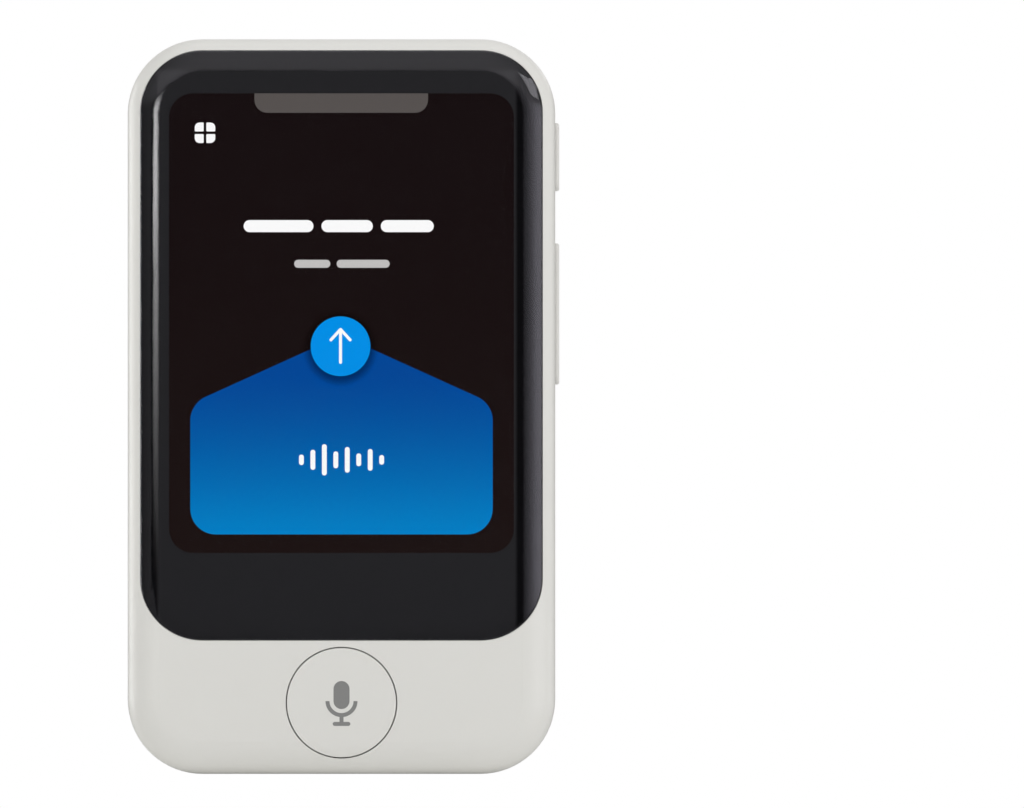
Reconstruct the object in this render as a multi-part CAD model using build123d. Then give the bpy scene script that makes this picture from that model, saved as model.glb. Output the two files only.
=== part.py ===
from build123d import *
import os

# Handheld voice translator: a pebble-shaped body with a touch display, a round talk key in the
# chin, two side keys, a SIM tray, a camera in the back and a USB-C port in the bottom end.
# It is modelled lying on its back: x runs across the display, y from the bottom end to the top
# end, z from the back to the front. stand() then turns it upright. All sizes are millimetres.

# Body: a rounded outline whose edge has a short flat band between two elliptical roundings
BODY_W = 53.3
BODY_L = 91.6
BODY_T = 11.5
CORNER_R = 9.3
BACK_FLAT_R = 0.3  # flat left at each corner's axis: the back rounds over nearly all the corner
BACK_RISE = 4.3
FRONT_RUN = 4.0
FRONT_RISE = 3.0
WALL = 1.1
FRONT_DEPTH = 3.2  # depth of the front frame, from the front face to the parting line
PARTING_GAP = 0.16
PARTING_CUT = 0.15
LIP_INSET = 0.55  # the rear cover's lip, which the front frame snaps over
LIP_H = 0.8
FIT = 0.1  # clearance between moulded pieces that are pushed together
SNAP = 0.04  # clearance of pieces that are glued or snapped in place

# Cover glass, in a pocket that leaves a narrow rim at both sides and the top, and a deep chin
GLASS_SIDE = 1.58
GLASS_TOP = 1.41
CHIN = 16.65
GLASS_R = 7.7
GLASS_T = 1.0
GLASS_TAPE_INSET = 0.4

# Display module, placed by its lit area, which is set in from the glass's edges
LIT_SIDE = 3.57
LIT_TOP = 5.34
LIT_BOTTOM = 10.9
LCD_SIDE = 1.3
LCD_TOP = 1.5
LCD_BOTTOM = 3.4
LCD_R = 0.8
LCD_GAP = 0.3
TOUCH_T = 0.25
LCD_T = 1.2
LIGHT_T = 0.9
LIGHT_END = 2.4
FLEX_ROOM = 0.25
FLEX_T = 0.12
FLEX_BEND = 0.3
DISPLAY_FLEX_W = 5.0
DISPLAY_SLOT_L = 6.6
DISPLAY_SLOT_W = 1.2
DISPLAY_FLEX_END = 7.7

# Chassis plate, screwed to bosses of the rear cover
CHASSIS_T = 0.5
CHASSIS_GAP = 1.0
CHASSIS_END = 3.0
SCREW_R = 0.7
SCREW_HEAD_R = 1.2
SCREW_HEAD_H = 0.35
SOCKET_R = 0.45  # hexagon sockets of the screws
SOCKET_DEEP = 0.2
SCREW_L = 3.0
BOSS_R = 1.6
SCREW_FIT = 0.05
TOP_SCREW_X = 7.45  # from the body's side and top end
TOP_SCREW_Y = 3.6
LOW_SCREW_X = 4.05
LOW_SCREW_Y = 20.5

# Talk key, in the chin
TALK_D = 13.62
TALK_GAP = 0.15
TALK_TO_GLASS = 0.81
TALK_SKIN = 1.1
TALK_TRAVEL = 0.35
TALK_FLANGE = 0.9
TALK_FLANGE_T = 0.6
TALK_TAB_L = 0.9
TALK_TAB_W = 2.4
CHIN_SKIN = 1.2
CHIN_ROOM = 0.5  # front frame left between the chin's hollow and the glass pocket
BAR_SKIN = 0.9  # front frame left over the hollows below the glass
BAR_RIB = 0.8
BAR_BAYS = 6
LENS_T = 0.45
LENS_RIM = 1.1
PLUNGER_R = 1.2
PLUNGER_L = 0.4
STEM_R = 0.9
STEM_OUT = 0.4
SWITCH_W = 4.6
SWITCH_T = 0.55
KEY_BOARD_W = 24.0
KEY_BOARD_L = 11.6
KEY_BOARD_T = 0.5
POST_R = 1.0
POST_EDGE = 1.4
PIN_R = 0.4
LED_W = 1.6
LED_L = 0.8
LED_T = 0.4
LED_X = 3.6

# Microphone sign of the talk key's light window
SIGN_BAR = 0.5
SIGN_HEAD_W = 2.0
SIGN_HEAD_L = 3.5
SIGN_HEAD_Y = 0.95
SIGN_CRADLE_R = 1.75
SIGN_STEM_L = 0.85
SIGN_FOOT_W = 2.2

# Side keys, on the flat band of the right side
KEY_OUT = 0.5
KEY_H = 2.2
KEY_GAP = 0.12
KEY_FLANGE = 0.7
KEY_FLANGE_T = 0.4
KEY_ROUND = 0.3
KEY_NIB_R = 0.7
KEY_NIB_L = 0.35
POWER_L = 8.5
POWER_TOP = 14.7  # key centres, from the top end
VOLUME_L = 17.6
VOLUME_TOP = 34.25
VOLUME_NIB_Y = 5.6
VOLUME_FLANGE_L = 6.0
VOLUME_SLACK = 0.2
DOME_W = 3.0
DOME_T = 0.35
DOME_GAP = 0.28
BRACKET_T = 0.3
BRACKET_FOOT = 1.8
BRACKET_END = 2.5
PIVOT_R = 0.4

# SIM tray and its socket on the main board, on the left side
SIM_TOP = 30.2
SIM_FACE_L = 13.9
SIM_FACE_H = 2.2
SIM_FACE_T = 1.1
SIM_GAP = 0.12
SIM_SUNK = 0.1
TRAY_W = 9.9
TRAY_L = 14.0
TRAY_LEAF_T = 0.8
TRAY_SHIFT = 1.6
CARD_W = 8.9
CARD_L = 12.4
CARD_T = 0.7
CARD_CUT = 1.7
CARD_LEDGE = 0.8
SOCKET_SET = 0.55  # from the tray's face piece to the socket
SOCKET_BASE = 0.45
SOCKET_WALL = 0.6
SOCKET_ROOF = 0.2
SOCKET_GAP = 0.08
EJECT_R = 0.4
EJECT_Y = 4.9
EJECT_L = 10.0
EJECT_OUT = 0.3
EJECT_TRAVEL = 1.0
PIN_HOLE_R = 0.45

# Boards
BOARD_T = 0.8
BOARD_BACK = 4.2
BOARD_L = 38.1  # from the board's lower edge to the body's top end
BOARD_SIDE = 2.25
BOARD_GAP = 0.1
BOARD_NOTCH = 0.25
BOARD_SCREW_PLACES = ((-1, 5.15, 16.6), (1, 6.65, 9.6), (1, 6.25, 25.6))  # side, from side and top
BOARD_BOSS_R = 1.5
BOARD_SCREW_R = 0.6
BOARD_SCREW_HEAD_R = 1.1
BOARD_SCREW_HEAD_H = 0.45
BOARD_SCREW_L = 2.2
SUB_BOARD_W = 33.0
SUB_BOARD_L = 13.2
SUB_BOARD_Y0 = 2.0
SUB_SCREW_X = 14.2
SUB_SCREW_Y = 12.6

# Shield cans and the chips under them
CAN_H = 1.7
CAN_T = 0.2
CAN_GAP = 0.6
PROCESSOR_CAN_L = 15.0
RADIO_CAN_SIDE = 8.65  # from the body's left side
RADIO_CAN_TOP = 6.6
RADIO_CAN_W = 16.0
RADIO_CAN_L = 14.0
CHIP_H = 0.9
PROCESSOR_W = 9.0
MEMORY_W = 6.5
RADIO_W = 7.5

# Battery, between two ribs of the rear cover
BATTERY_Y0 = 17.6
BATTERY_END = 0.9  # gap from the battery to the main board
BATTERY_UNDER = 0.35
BATTERY_R = 1.6
TAPE_T = 0.2
TAPE_W = 12.0
RIB_T = 0.7
RIB_GAP = 0.25
LEAD_R = 0.4
LEAD_PITCH = 1.5
PLUG_W = 6.0
PLUG_L = 2.4
PLUG_H = 1.4
PLUG_SIDE = 2.41

# Camera, on the back's centre line
CAMERA_TOP = 13.7
WINDOW_R = 3.4
WINDOW_T = 0.6
WINDOW_GAP = 0.05
WINDOW_SUNK = 0.03
WINDOW_TAPE = 0.1
CAMERA_HOLE_R = 2.9
CAMERA_BOSS_R = 4.6
CAMERA_BOSS_H = 0.5
GASKET_T = 0.2
GASKET_R = 3.3
CAMERA_W = 6.5
BARREL_R = 2.6
BARREL_GAP = 0.15
LENS_R = 1.1
LENS_SUNK = 0.5

# Flash lamp below the camera
FLASH_TOP = 20.85
FLASH_R = 1.6
FLASH_FLANGE = 0.5
FLASH_FLANGE_T = 0.4
FLASH_PIPE_R = 1.2
FLASH_LED_W = 2.2
FLASH_LED_H = 0.75
FLASH_LED_GAP = 0.15
FRESNEL_RINGS = 4
FRESNEL_DEPTH = 0.08

# USB-C port in the bottom end
USB_W = 8.94
USB_H = 3.2
USB_L = 7.35
USB_SHELL_T = 0.3
USB_SUNK = 0.3
USB_GAP = 0.15
TONGUE_W = 6.7
TONGUE_T = 0.7
TONGUE_L = 4.9
TONGUE_BASE = 1.8
CONTACTS = 12
CONTACT_PITCH = 0.5
CONTACT_W = 0.25
CONTACT_T = 0.05
CONTACT_L = 3.4

# Strap slot: a tunnel from the back to the edge of the bottom end, behind a bar
STRAP_W = 3.57
STRAP_L = 1.64
STRAP_Y = 4.18
STRAP_Z = 1.95
STRAP_H = 0.95
STRAP_WALL = 0.6

# Speakers beside the battery, firing through both sides
SPEAKER_BAY = 7.25
SPEAKER_SHELL_GAP = 0.25
DRIVER_L = 11.0
DRIVER_END = 2.6
DRIVER_H = 3.0
DRIVER_T = 0.8
MESH_T = 0.1
MESH_RIM = 0.8
SOUND_HOLES = 5
SOUND_HOLE_R = 0.45
SOUND_PITCH = 1.6

# Microphones, at both ends
MIC_W = 3.5
MIC_L = 2.65
MIC_H = 1.0
MIC_HOLE_R = 0.4
MIC_BOOT = 0.5
TOP_MIC_X = 11.0
LOW_MIC_X = -9.6

# Aerials on the flat inside of the back, clear of its rounding
CELLULAR_W = 9.0
CELLULAR_EDGE = 1.35
WIFI_W = 7.0
WIFI_EDGE = 2.85
AERIAL_L = 13.0
AERIAL_T = 0.12
SPRING_W = 1.2
SPRING_T = 0.15
SPRING_L = 2.6

# Flat cables and their plugs
LINK_FLEX_W = 6.5
LINK_FLEX_X = -9.0
LINK_PLUG_L = 2.4
LINK_PLUG_H = 0.7
LINK_START = 12.0
LINK_OVER = 5.0  # how far the battery's flat cable reaches over the main board
LINK_SLOPE = 1.6
KEY_FLEX_W = 5.0
KEY_FLEX_EDGE = 1.0  # from the key board's right edge
KEY_FLEX_Y = 13.0
KEY_FLEX_BOW = 15.8

# Heights that follow from the sizes above
PARTING_Z = BODY_T - FRONT_DEPTH
GLASS_BACK = BODY_T - GLASS_T
TAPE_BACK = GLASS_BACK - TOUCH_T
LCD_BACK = TAPE_BACK - LCD_T
LIGHT_BACK = LCD_BACK - LIGHT_T
CHASSIS_FRONT = LIGHT_BACK - FLEX_ROOM
CHASSIS_BACK = CHASSIS_FRONT - CHASSIS_T
CHIN_BACK = BODY_T - CHIN_SKIN
PLUNGER_BACK = BODY_T - TALK_SKIN - LENS_T - PLUNGER_L
SWITCH_FRONT = PLUNGER_BACK - STEM_OUT
KEY_BOARD_FRONT = SWITCH_FRONT - SWITCH_T
KEY_BOARD_BACK = KEY_BOARD_FRONT - KEY_BOARD_T
FLANGE_FRONT = CHIN_BACK - SNAP
FLANGE_BACK = FLANGE_FRONT - TALK_FLANGE_T
WINDOW_BACK = WINDOW_SUNK + WINDOW_T
WINDOW_SEAT = WINDOW_BACK + WINDOW_TAPE
BARREL_BACK = WINDOW_SEAT + BARREL_GAP
CAMERA_BACK = WALL + CAMERA_BOSS_H + GASKET_T
BOARD_FRONT = BOARD_BACK + BOARD_T
STRAP_ROOF = STRAP_Z + STRAP_H + STRAP_WALL
SUB_BACK = STRAP_ROOF + BOARD_GAP
SUB_FRONT = SUB_BACK + BOARD_T
SIDE_Z = SUB_FRONT + USB_H / 2  # the port, the keys and the sound holes share this height
LEAF_BACK = BOARD_FRONT + SOCKET_BASE + SOCKET_GAP
SIM_Z = LEAF_BACK + TRAY_LEAF_T / 2
BATTERY_FRONT = CHASSIS_BACK - TAPE_T
BATTERY_BACK = WALL + FLEX_T + BATTERY_UNDER

# Places that follow from the sizes above
HALF_W = BODY_W / 2
INNER_X = HALF_W - WALL
BOARD_Y0 = BODY_L - BOARD_L
GLASS_W = BODY_W - 2 * GLASS_SIDE
GLASS_L = BODY_L - GLASS_TOP - CHIN
GLASS_Y = CHIN + GLASS_L / 2
LCD_W = GLASS_W - 2 * LIT_SIDE + 2 * LCD_SIDE
LCD_Y0 = CHIN + LIT_BOTTOM - LCD_BOTTOM
LCD_Y1 = BODY_L - GLASS_TOP - LIT_TOP + LCD_TOP
LCD_Y = (LCD_Y0 + LCD_Y1) / 2
TALK_R = TALK_D / 2
TALK_Y = CHIN - TALK_TO_GLASS - TALK_GAP - TALK_R
CHIN_END = CHIN - CHIN_ROOM
KEY_FLEX_X = KEY_BOARD_W / 2 - KEY_FLEX_EDGE - KEY_FLEX_W / 2
POWER_Y = BODY_L - POWER_TOP
VOLUME_Y = BODY_L - VOLUME_TOP
SIM_Y = BODY_L - SIM_TOP
CAMERA_Y = BODY_L - CAMERA_TOP
FLASH_Y = BODY_L - FLASH_TOP
BATTERY_Y1 = BOARD_Y0 - BATTERY_END
BATTERY_X = INNER_X - SPEAKER_BAY
RIB_X = BATTERY_X + RIB_GAP
SPEAKER_X = INNER_X - MESH_T - DRIVER_T
KEY_BACK_X = INNER_X - SNAP - KEY_FLANGE_T  # inner face of the side keys' flanges
DOME_X = KEY_BACK_X - KEY_NIB_L - DOME_GAP  # face of the side keys' domes
DOME_Z = (BOARD_FRONT + BOARD_GAP, 2 * SIDE_Z - BOARD_FRONT - BOARD_GAP)
BRACKET_X = DOME_X - DOME_T - FLEX_T - BRACKET_T
PIVOT_X = DOME_X - DOME_T + SNAP + PIVOT_R  # centre of the rocker's pivot rib
BRACKET_Y0 = VOLUME_Y - VOLUME_L / 2 - BRACKET_END
BRACKET_Y1 = POWER_Y + POWER_L / 2 + BRACKET_END
LEAF_X0 = -HALF_W + SIM_SUNK + SIM_FACE_T
SOCKET_X0 = LEAF_X0 + SOCKET_SET
LEAF_X1 = LEAF_X0 + TRAY_L
LEAF_Y = SIM_Y + TRAY_SHIFT
EJECT_YC = SIM_Y - EJECT_Y
SOCKET_TOP = LEAF_BACK + TRAY_LEAF_T + SOCKET_GAP + SOCKET_ROOF
SOCKET_X1 = LEAF_X1 + SOCKET_GAP + SOCKET_WALL
PLUG_X = BRACKET_X - BRACKET_FOOT - PLUG_SIDE - PLUG_W / 2
PLUG_Y0 = BOARD_Y0 + LEAD_R
LINK_END = BOARD_Y0 + LINK_OVER
SPEAKER_Y0 = LOW_SCREW_Y + BOSS_R + RIB_GAP
SPEAKER_Y1 = BRACKET_Y0 - RIB_T - RIB_GAP
SPEAKER_Y = SPEAKER_Y1 - DRIVER_END - DRIVER_L / 2  # centre of the driver and the sound holes
BOARD_SCREWS = [(side * (HALF_W - x), BODY_L - y) for side, x, y in BOARD_SCREW_PLACES]
SCREWS = [
    (side * (HALF_W - inset_x), y)
    for side in (-1, 1)
    for inset_x, y in ((TOP_SCREW_X, BODY_L - TOP_SCREW_Y), (LOW_SCREW_X, LOW_SCREW_Y))
]
SUB_SCREWS = [(side * SUB_SCREW_X, SUB_SCREW_Y) for side in (-1, 1)]
BEYOND = 1.0  # how far a cutting tool runs past the face that it opens


def block(x, y, z):
    """Box between the pairs of limits x, y and z."""
    size = [high - low for low, high in (x, y, z)]
    middle = [(low + high) / 2 for low, high in (x, y, z)]
    return Pos(*middle) * Box(*size)


def along_z(outline, z):
    """Outline drawn in x and y, extruded between the heights z."""
    return Pos(0, 0, z[0]) * extrude(outline, amount=z[1] - z[0])


def along_y(outline, y):
    """Outline drawn in x and z, extruded between the places y."""
    return Pos(0, y[0], 0) * extrude(Plane.XZ * outline, amount=y[1] - y[0], dir=(0, 1, 0))


def along_x(outline, x):
    """Outline drawn in y and z, extruded between the places x."""
    return Pos(x[0], 0, 0) * extrude(Plane.YZ * outline, amount=x[1] - x[0])


def disc(radius, x, y, z):
    return along_z(Pos(x, y) * Circle(radius), z)


def slot_at(length, width, x, y):
    """Slot outline with round ends, its length along the sketch's first direction."""
    return Pos(x, y) * SlotOverall(length, width)


def rounded(width, length, radius, x, y):
    return Pos(x, y) * RectangleRounded(width, length, radius)


def both_sides(x0, x1):
    """The span between x0 and x1, and its mirror image across the centre line."""
    return ((x0, x1), (-x1, -x0))


def outline(inset):
    """The body's outline, shrunk by inset."""
    return rounded(BODY_W - 2 * inset, BODY_L - 2 * inset, CORNER_R - inset, 0, BODY_L / 2)


def quarter(centre, x_radius, z_radius, start):
    return EllipticalCenterArc(centre, x_radius, z_radius, start, arc_size=90)


def pebble(inset):
    """The body's outer form, shrunk by inset on every side."""
    back_x = BACK_FLAT_R
    front_x = CORNER_R - FRONT_RUN
    front_z = BODY_T - FRONT_RISE
    side_x = CORNER_R - inset
    half_section = Plane.XZ * make_face(
        [
            Line((0, inset), (back_x, inset)),
            quarter((back_x, BACK_RISE), side_x - back_x, BACK_RISE - inset, 270),
            Line((side_x, BACK_RISE), (side_x, front_z)),
            quarter((front_x, front_z), FRONT_RUN - inset, FRONT_RISE - inset, 0),
            Line((front_x, BODY_T - inset), (0, BODY_T - inset)),
            Line((0, BODY_T - inset), (0, inset)),
        ]
    )
    core_x = HALF_W - CORNER_R
    core_y0, core_y1 = CORNER_R, BODY_L - CORNER_R
    corner = revolve(half_section, Axis.Z, 90)
    side = extrude(half_section, amount=core_y1 - core_y0, dir=(0, 1, 0))
    end = extrude(half_section, amount=2 * core_x, dir=(0, 1, 0))
    form = block((-core_x, core_x), (core_y0, core_y1), (inset, BODY_T - inset))
    form += Pos(core_x, core_y1, 0) * corner
    form += Pos(-core_x, core_y1, 0) * Rot(0, 0, 90) * corner
    form += Pos(-core_x, core_y0, 0) * Rot(0, 0, 180) * corner
    form += Pos(core_x, core_y0, 0) * Rot(0, 0, 270) * corner
    form += Pos(core_x, core_y0, 0) * side
    form += Pos(-core_x, core_y1, 0) * Rot(0, 0, 180) * side
    form += Pos(core_x, core_y1, 0) * Rot(0, 0, 90) * end
    form += Pos(-core_x, core_y0, 0) * Rot(0, 0, 270) * end
    return form


def slab(z0, z1, y0=-BEYOND, y1=BODY_L + BEYOND):
    """Everything between two heights, and between two places along the body."""
    return block((-HALF_W - BEYOND, HALF_W + BEYOND), (y0, y1), (z0, z1))


BODY = pebble(0)
CAVITY = pebble(WALL)
MID_WALL = pebble(WALL / 2)


def parting_groove():
    """Shadow line round the body where the two shells meet."""
    band = slab(PARTING_Z - PARTING_GAP / 2, PARTING_Z + PARTING_GAP / 2)
    return (BODY & band) - pebble(PARTING_CUT)


GROOVE = parting_groove()


def screw_bosses():
    """Posts for the chassis screws, the board screws and the lower board's screws."""
    bosses = [disc(BOSS_R, x, y, (0, CHASSIS_BACK)) for x, y in SCREWS]
    bosses += [disc(BOARD_BOSS_R, x, y, (0, BOARD_BACK)) for x, y in BOARD_SCREWS]
    bosses += [disc(BOARD_BOSS_R, x, y, (0, SUB_BACK)) for x, y in SUB_SCREWS]
    return bosses


def screw_holes():
    """Blind holes in the posts, as deep as the screws reach."""
    chassis_z = CHASSIS_FRONT - SCREW_L - SCREW_FIT
    board_z = BOARD_FRONT - BOARD_SCREW_L - SCREW_FIT
    sub_z = SUB_FRONT - BOARD_SCREW_L - SCREW_FIT
    chassis_r = SCREW_R + SCREW_FIT
    board_r = BOARD_SCREW_R + SCREW_FIT
    holes = [disc(chassis_r, x, y, (chassis_z, BODY_T)) for x, y in SCREWS]
    holes += [disc(board_r, x, y, (board_z, BODY_T)) for x, y in BOARD_SCREWS]
    holes += [disc(board_r, x, y, (sub_z, BODY_T)) for x, y in SUB_SCREWS]
    return holes


def bay_ribs():
    """Ribs beside the battery, which also back the speaker boxes, and a rib at its lower end."""
    y = (BATTERY_Y0 - RIB_GAP - RIB_T, BATTERY_Y1)
    ribs = [block(x, y, (0, CHASSIS_BACK)) for x in both_sides(RIB_X, RIB_X + RIB_T)]
    end_y = (y[0], y[0] + RIB_T)
    flex_x = (LINK_FLEX_X - LINK_FLEX_W / 2 - RIB_GAP, LINK_FLEX_X + LINK_FLEX_W / 2 + RIB_GAP)
    ribs.append(block((-RIB_X, flex_x[0]), end_y, (0, CHASSIS_BACK)))
    ribs.append(block((flex_x[1], RIB_X), end_y, (0, CHASSIS_BACK)))
    return ribs


def strap_tunnel():
    """The slot in the back and the mouth in the bottom edge, which meet behind the strap bar."""
    mouth = slot_at(STRAP_W, STRAP_H, 0, STRAP_Z + STRAP_H / 2)
    tunnel = along_y(mouth, (-BEYOND, STRAP_Y))
    return tunnel + along_z(slot_at(STRAP_W, STRAP_L, 0, STRAP_Y), (-BEYOND, STRAP_Z + STRAP_H))


def strap_boss():
    """Thick inner wall that closes the strap tunnel off from the inside of the body."""
    half = STRAP_W / 2 + STRAP_WALL
    return block((-half, half), (0, STRAP_Y + STRAP_L / 2 + STRAP_WALL), (0, STRAP_ROOF))


def key_slot(length, y, height, z, gap, x):
    """Opening in a side wall, for a key or a tray of that length and height."""
    return along_x(slot_at(length + 2 * gap, height + 2 * gap, y, z), x)


def sound_holes(x):
    first = SPEAKER_Y - SOUND_PITCH * (SOUND_HOLES - 1) / 2
    return [
        along_x(Pos(first + SOUND_PITCH * n, SIDE_Z) * Circle(SOUND_HOLE_R), x)
        for n in range(SOUND_HOLES)
    ]


def mic_height(board_front):
    """Height of a microphone's sound passage over its board."""
    return board_front + MIC_H + MIC_BOOT


def side_openings():
    """Everything that goes through the side walls and the two ends."""
    right = (INNER_X - BEYOND / 2, HALF_W + BEYOND)
    left = (-HALF_W - BEYOND, -INNER_X + BEYOND / 2)
    cuts = [
        key_slot(POWER_L, POWER_Y, KEY_H, SIDE_Z, KEY_GAP, right),
        key_slot(VOLUME_L, VOLUME_Y, KEY_H, SIDE_Z, KEY_GAP, right),
        key_slot(SIM_FACE_L, SIM_Y, SIM_FACE_H, SIM_Z, SIM_GAP, left),
    ]
    cuts += sound_holes(right) + sound_holes(left)
    mouth = slot_at(USB_W + 2 * USB_GAP, USB_H + 2 * USB_GAP, 0, SIDE_Z)
    cuts.append(along_y(mouth, (-BEYOND, WALL + BEYOND)))
    top_hole = Pos(TOP_MIC_X, mic_height(BOARD_FRONT)) * Circle(MIC_HOLE_R)
    low_hole = Pos(LOW_MIC_X, mic_height(SUB_FRONT)) * Circle(MIC_HOLE_R)
    cuts.append(along_y(top_hole, (BODY_L - WALL - BEYOND / 2, BODY_L + BEYOND)))
    cuts.append(along_y(low_hole, (-BEYOND, WALL + BEYOND / 2)))
    return cuts


def back_openings():
    """Stepped hole for the camera window, hole for the flash lens, and the strap slot."""
    return [
        disc(WINDOW_R + WINDOW_GAP, 0, CAMERA_Y, (-BEYOND, WINDOW_SEAT)),
        disc(CAMERA_HOLE_R, 0, CAMERA_Y, (-BEYOND, WALL + CAMERA_BOSS_H + BEYOND)),
        disc(FLASH_R + WINDOW_GAP, 0, FLASH_Y, (-BEYOND, WALL + BEYOND / 2)),
        strap_tunnel(),
    ]


def bracket_posts():
    """Two slotted posts on the right wall that hold the side keys' bracket by its ends."""
    posts = []
    for end, inward in ((BRACKET_Y0, 1), (BRACKET_Y1, -1)):
        post_y = sorted((end - inward * RIB_T, end + inward * RIB_T))
        slot_y = sorted((end - inward * SNAP, end + inward * (RIB_T + BEYOND)))
        z = (BOARD_FRONT + BOARD_GAP, CHASSIS_BACK)
        post = block((BRACKET_X - RIB_T, HALF_W), post_y, z)
        posts.append(post - block((BRACKET_X - SNAP, DOME_X), slot_y, (0, BODY_T)))
    return posts


def rear_cover():
    shell = (BODY & slab(0, PARTING_Z)) + (pebble(LIP_INSET) & slab(PARTING_Z, PARTING_Z + LIP_H))
    shell -= CAVITY
    inside = screw_bosses() + bay_ribs() + bracket_posts()
    inside.append(strap_boss())
    inside.append(disc(CAMERA_BOSS_R, 0, CAMERA_Y, (0, WALL + CAMERA_BOSS_H)))
    for feature in inside:
        shell += feature & MID_WALL
    for cut in screw_holes() + side_openings() + back_openings():
        shell -= cut
    return shell - GROOVE


def talk_key_guides():
    """Ribs that the talk key's tabs slide between, and posts that carry the key board."""
    tab_r = TALK_R + TALK_FLANGE + TALK_TAB_L
    parts = []
    for x in both_sides(TALK_R + TALK_FLANGE + FIT, tab_r + FIT):
        for side in (-1, 1):
            near = side * (TALK_TAB_W / 2 + FIT)
            far = side * (TALK_TAB_W / 2 + FIT + BAR_RIB)
            y = sorted((TALK_Y + near, TALK_Y + far))
            parts.append(block(x, y, (FLANGE_BACK - TALK_TRAVEL, BODY_T)))
    for x, y in POSTS:
        parts.append(disc(POST_R, x, y, (KEY_BOARD_FRONT, BODY_T)))
        parts.append(disc(PIN_R, x, y, (KEY_BOARD_BACK, BODY_T)))
    return parts


def glass_bar_hollows():
    """Hollows under the strip of the frame that carries the glass below the display."""
    y = (CHIN_END + BAR_RIB, LCD_Y0 - LCD_GAP - BAR_RIB)
    x1 = GLASS_W / 2 - BAR_RIB
    pitch = (2 * x1 + BAR_RIB) / BAR_BAYS
    z = (0, TAPE_BACK - BAR_SKIN)
    return [
        block((-x1 + pitch * n, -x1 + pitch * (n + 1) - BAR_RIB), y, z) for n in range(BAR_BAYS)
    ]


def glass_outline(gap):
    return rounded(GLASS_W + 2 * gap, GLASS_L + 2 * gap, GLASS_R + gap, 0, GLASS_Y)


def display_outline(gap):
    return rounded(LCD_W + 2 * gap, LCD_Y1 - LCD_Y0 + 2 * gap, LCD_R, 0, LCD_Y)


def front_frame():
    frame = BODY & slab(PARTING_Z, BODY_T + BEYOND)
    frame -= along_z(glass_outline(SNAP), (TAPE_BACK, BODY_T + BEYOND))
    frame -= along_z(display_outline(LCD_GAP), (0, BODY_T))
    frame -= pebble(CHIN_SKIN) & slab(0, BODY_T, -BEYOND, CHIN_END)
    for hollow in glass_bar_hollows():
        frame -= hollow
    skin = pebble(CHIN_SKIN / 2)
    for feature in talk_key_guides():
        frame += feature & skin
    frame -= disc(TALK_R + TALK_GAP, 0, TALK_Y, (FLANGE_BACK - TALK_TRAVEL, BODY_T + BEYOND))
    lip_room = pebble(LIP_INSET - FIT) - pebble(WALL + FIT)
    frame -= lip_room & slab(PARTING_Z - BEYOND, PARTING_Z + LIP_H + FIT)
    return frame - GROOVE


def cover_glass():
    """Glass with a flat back, whose face follows the body over both sides and the top."""
    return along_z(glass_outline(0), (GLASS_BACK, BODY_T + BEYOND)) & BODY


def glass_tape():
    ring = glass_outline(-GLASS_TAPE_INSET) - display_outline(LCD_GAP)
    return along_z(ring, (TAPE_BACK, GLASS_BACK))


def touch_panel():
    return along_z(display_outline(0), (TAPE_BACK, GLASS_BACK))


def lcd_panel():
    return along_z(display_outline(0), (LCD_BACK, TAPE_BACK))


def lcd_backlight():
    """Backlight in its tray, shorter than the panel whose lower ledge carries the cable."""
    x = LCD_W / 2 - SNAP
    return block((-x, x), (LCD_Y0 + LIGHT_END, LCD_Y1 - SNAP), (LIGHT_BACK, LCD_BACK))


def flat_cable(points, x, width):
    """Flat cable that follows points in y and z, bent round at each of them."""
    path = FilletPolyline(*points, radius=FLEX_BEND)
    return along_x(trace(path, FLEX_T), (x - width / 2, x + width / 2))


def plug(x, y, width, z):
    """Board connector, centred on x and y, between the heights z."""
    half_w, half_l = width / 2 + FIT, LINK_PLUG_L / 2
    return block((x - half_w, x + half_w), (y - half_l, y + half_l), z)


def display_flex():
    """Cable from the panel's lower ledge, behind the backlight and down to the main board."""
    edge_y = LCD_Y0 - FLEX_T / 2 - SNAP
    run_z = (CHASSIS_FRONT + LIGHT_BACK) / 2
    end_y = BOARD_Y0 + DISPLAY_FLEX_END
    plug_z = BOARD_FRONT + LINK_PLUG_H
    points = [(edge_y, LCD_BACK + LCD_T / 2), (edge_y, run_z), (end_y, run_z), (end_y, plug_z)]
    cable = flat_cable(points, PLUG_X, DISPLAY_FLEX_W)
    return cable + plug(PLUG_X, end_y, DISPLAY_FLEX_W, (BOARD_FRONT, plug_z))


def chassis_plate():
    y0 = LOW_SCREW_Y - CHASSIS_END
    plate = along_z(outline(WALL + CHASSIS_GAP), (CHASSIS_BACK, CHASSIS_FRONT))
    plate &= slab(0, BODY_T, y0, BODY_L)
    for x, y in SCREWS:
        plate -= disc(SCREW_R + FIT, x, y, (0, BODY_T))
    slot_y = BOARD_Y0 + DISPLAY_FLEX_END
    slot = slot_at(DISPLAY_SLOT_L, DISPLAY_SLOT_W, PLUG_X, slot_y)
    return plate - along_z(slot, (0, BODY_T))


def screw(x, y, front, radius, length, head_r, head_h):
    """Pan-head screw whose head sits on the height front, with a hexagon socket."""
    body = disc(radius, x, y, (front - length, front)) + disc(head_r, x, y, (front, front + head_h))
    socket = Pos(x, y) * RegularPolygon(SOCKET_R, 6)
    return body - along_z(socket, (front + head_h - SOCKET_DEEP, front + head_h + BEYOND))


def chassis_screws():
    sizes = (SCREW_R, SCREW_L, SCREW_HEAD_R, SCREW_HEAD_H)
    return [screw(x, y, CHASSIS_FRONT, *sizes) for x, y in SCREWS]


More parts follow.
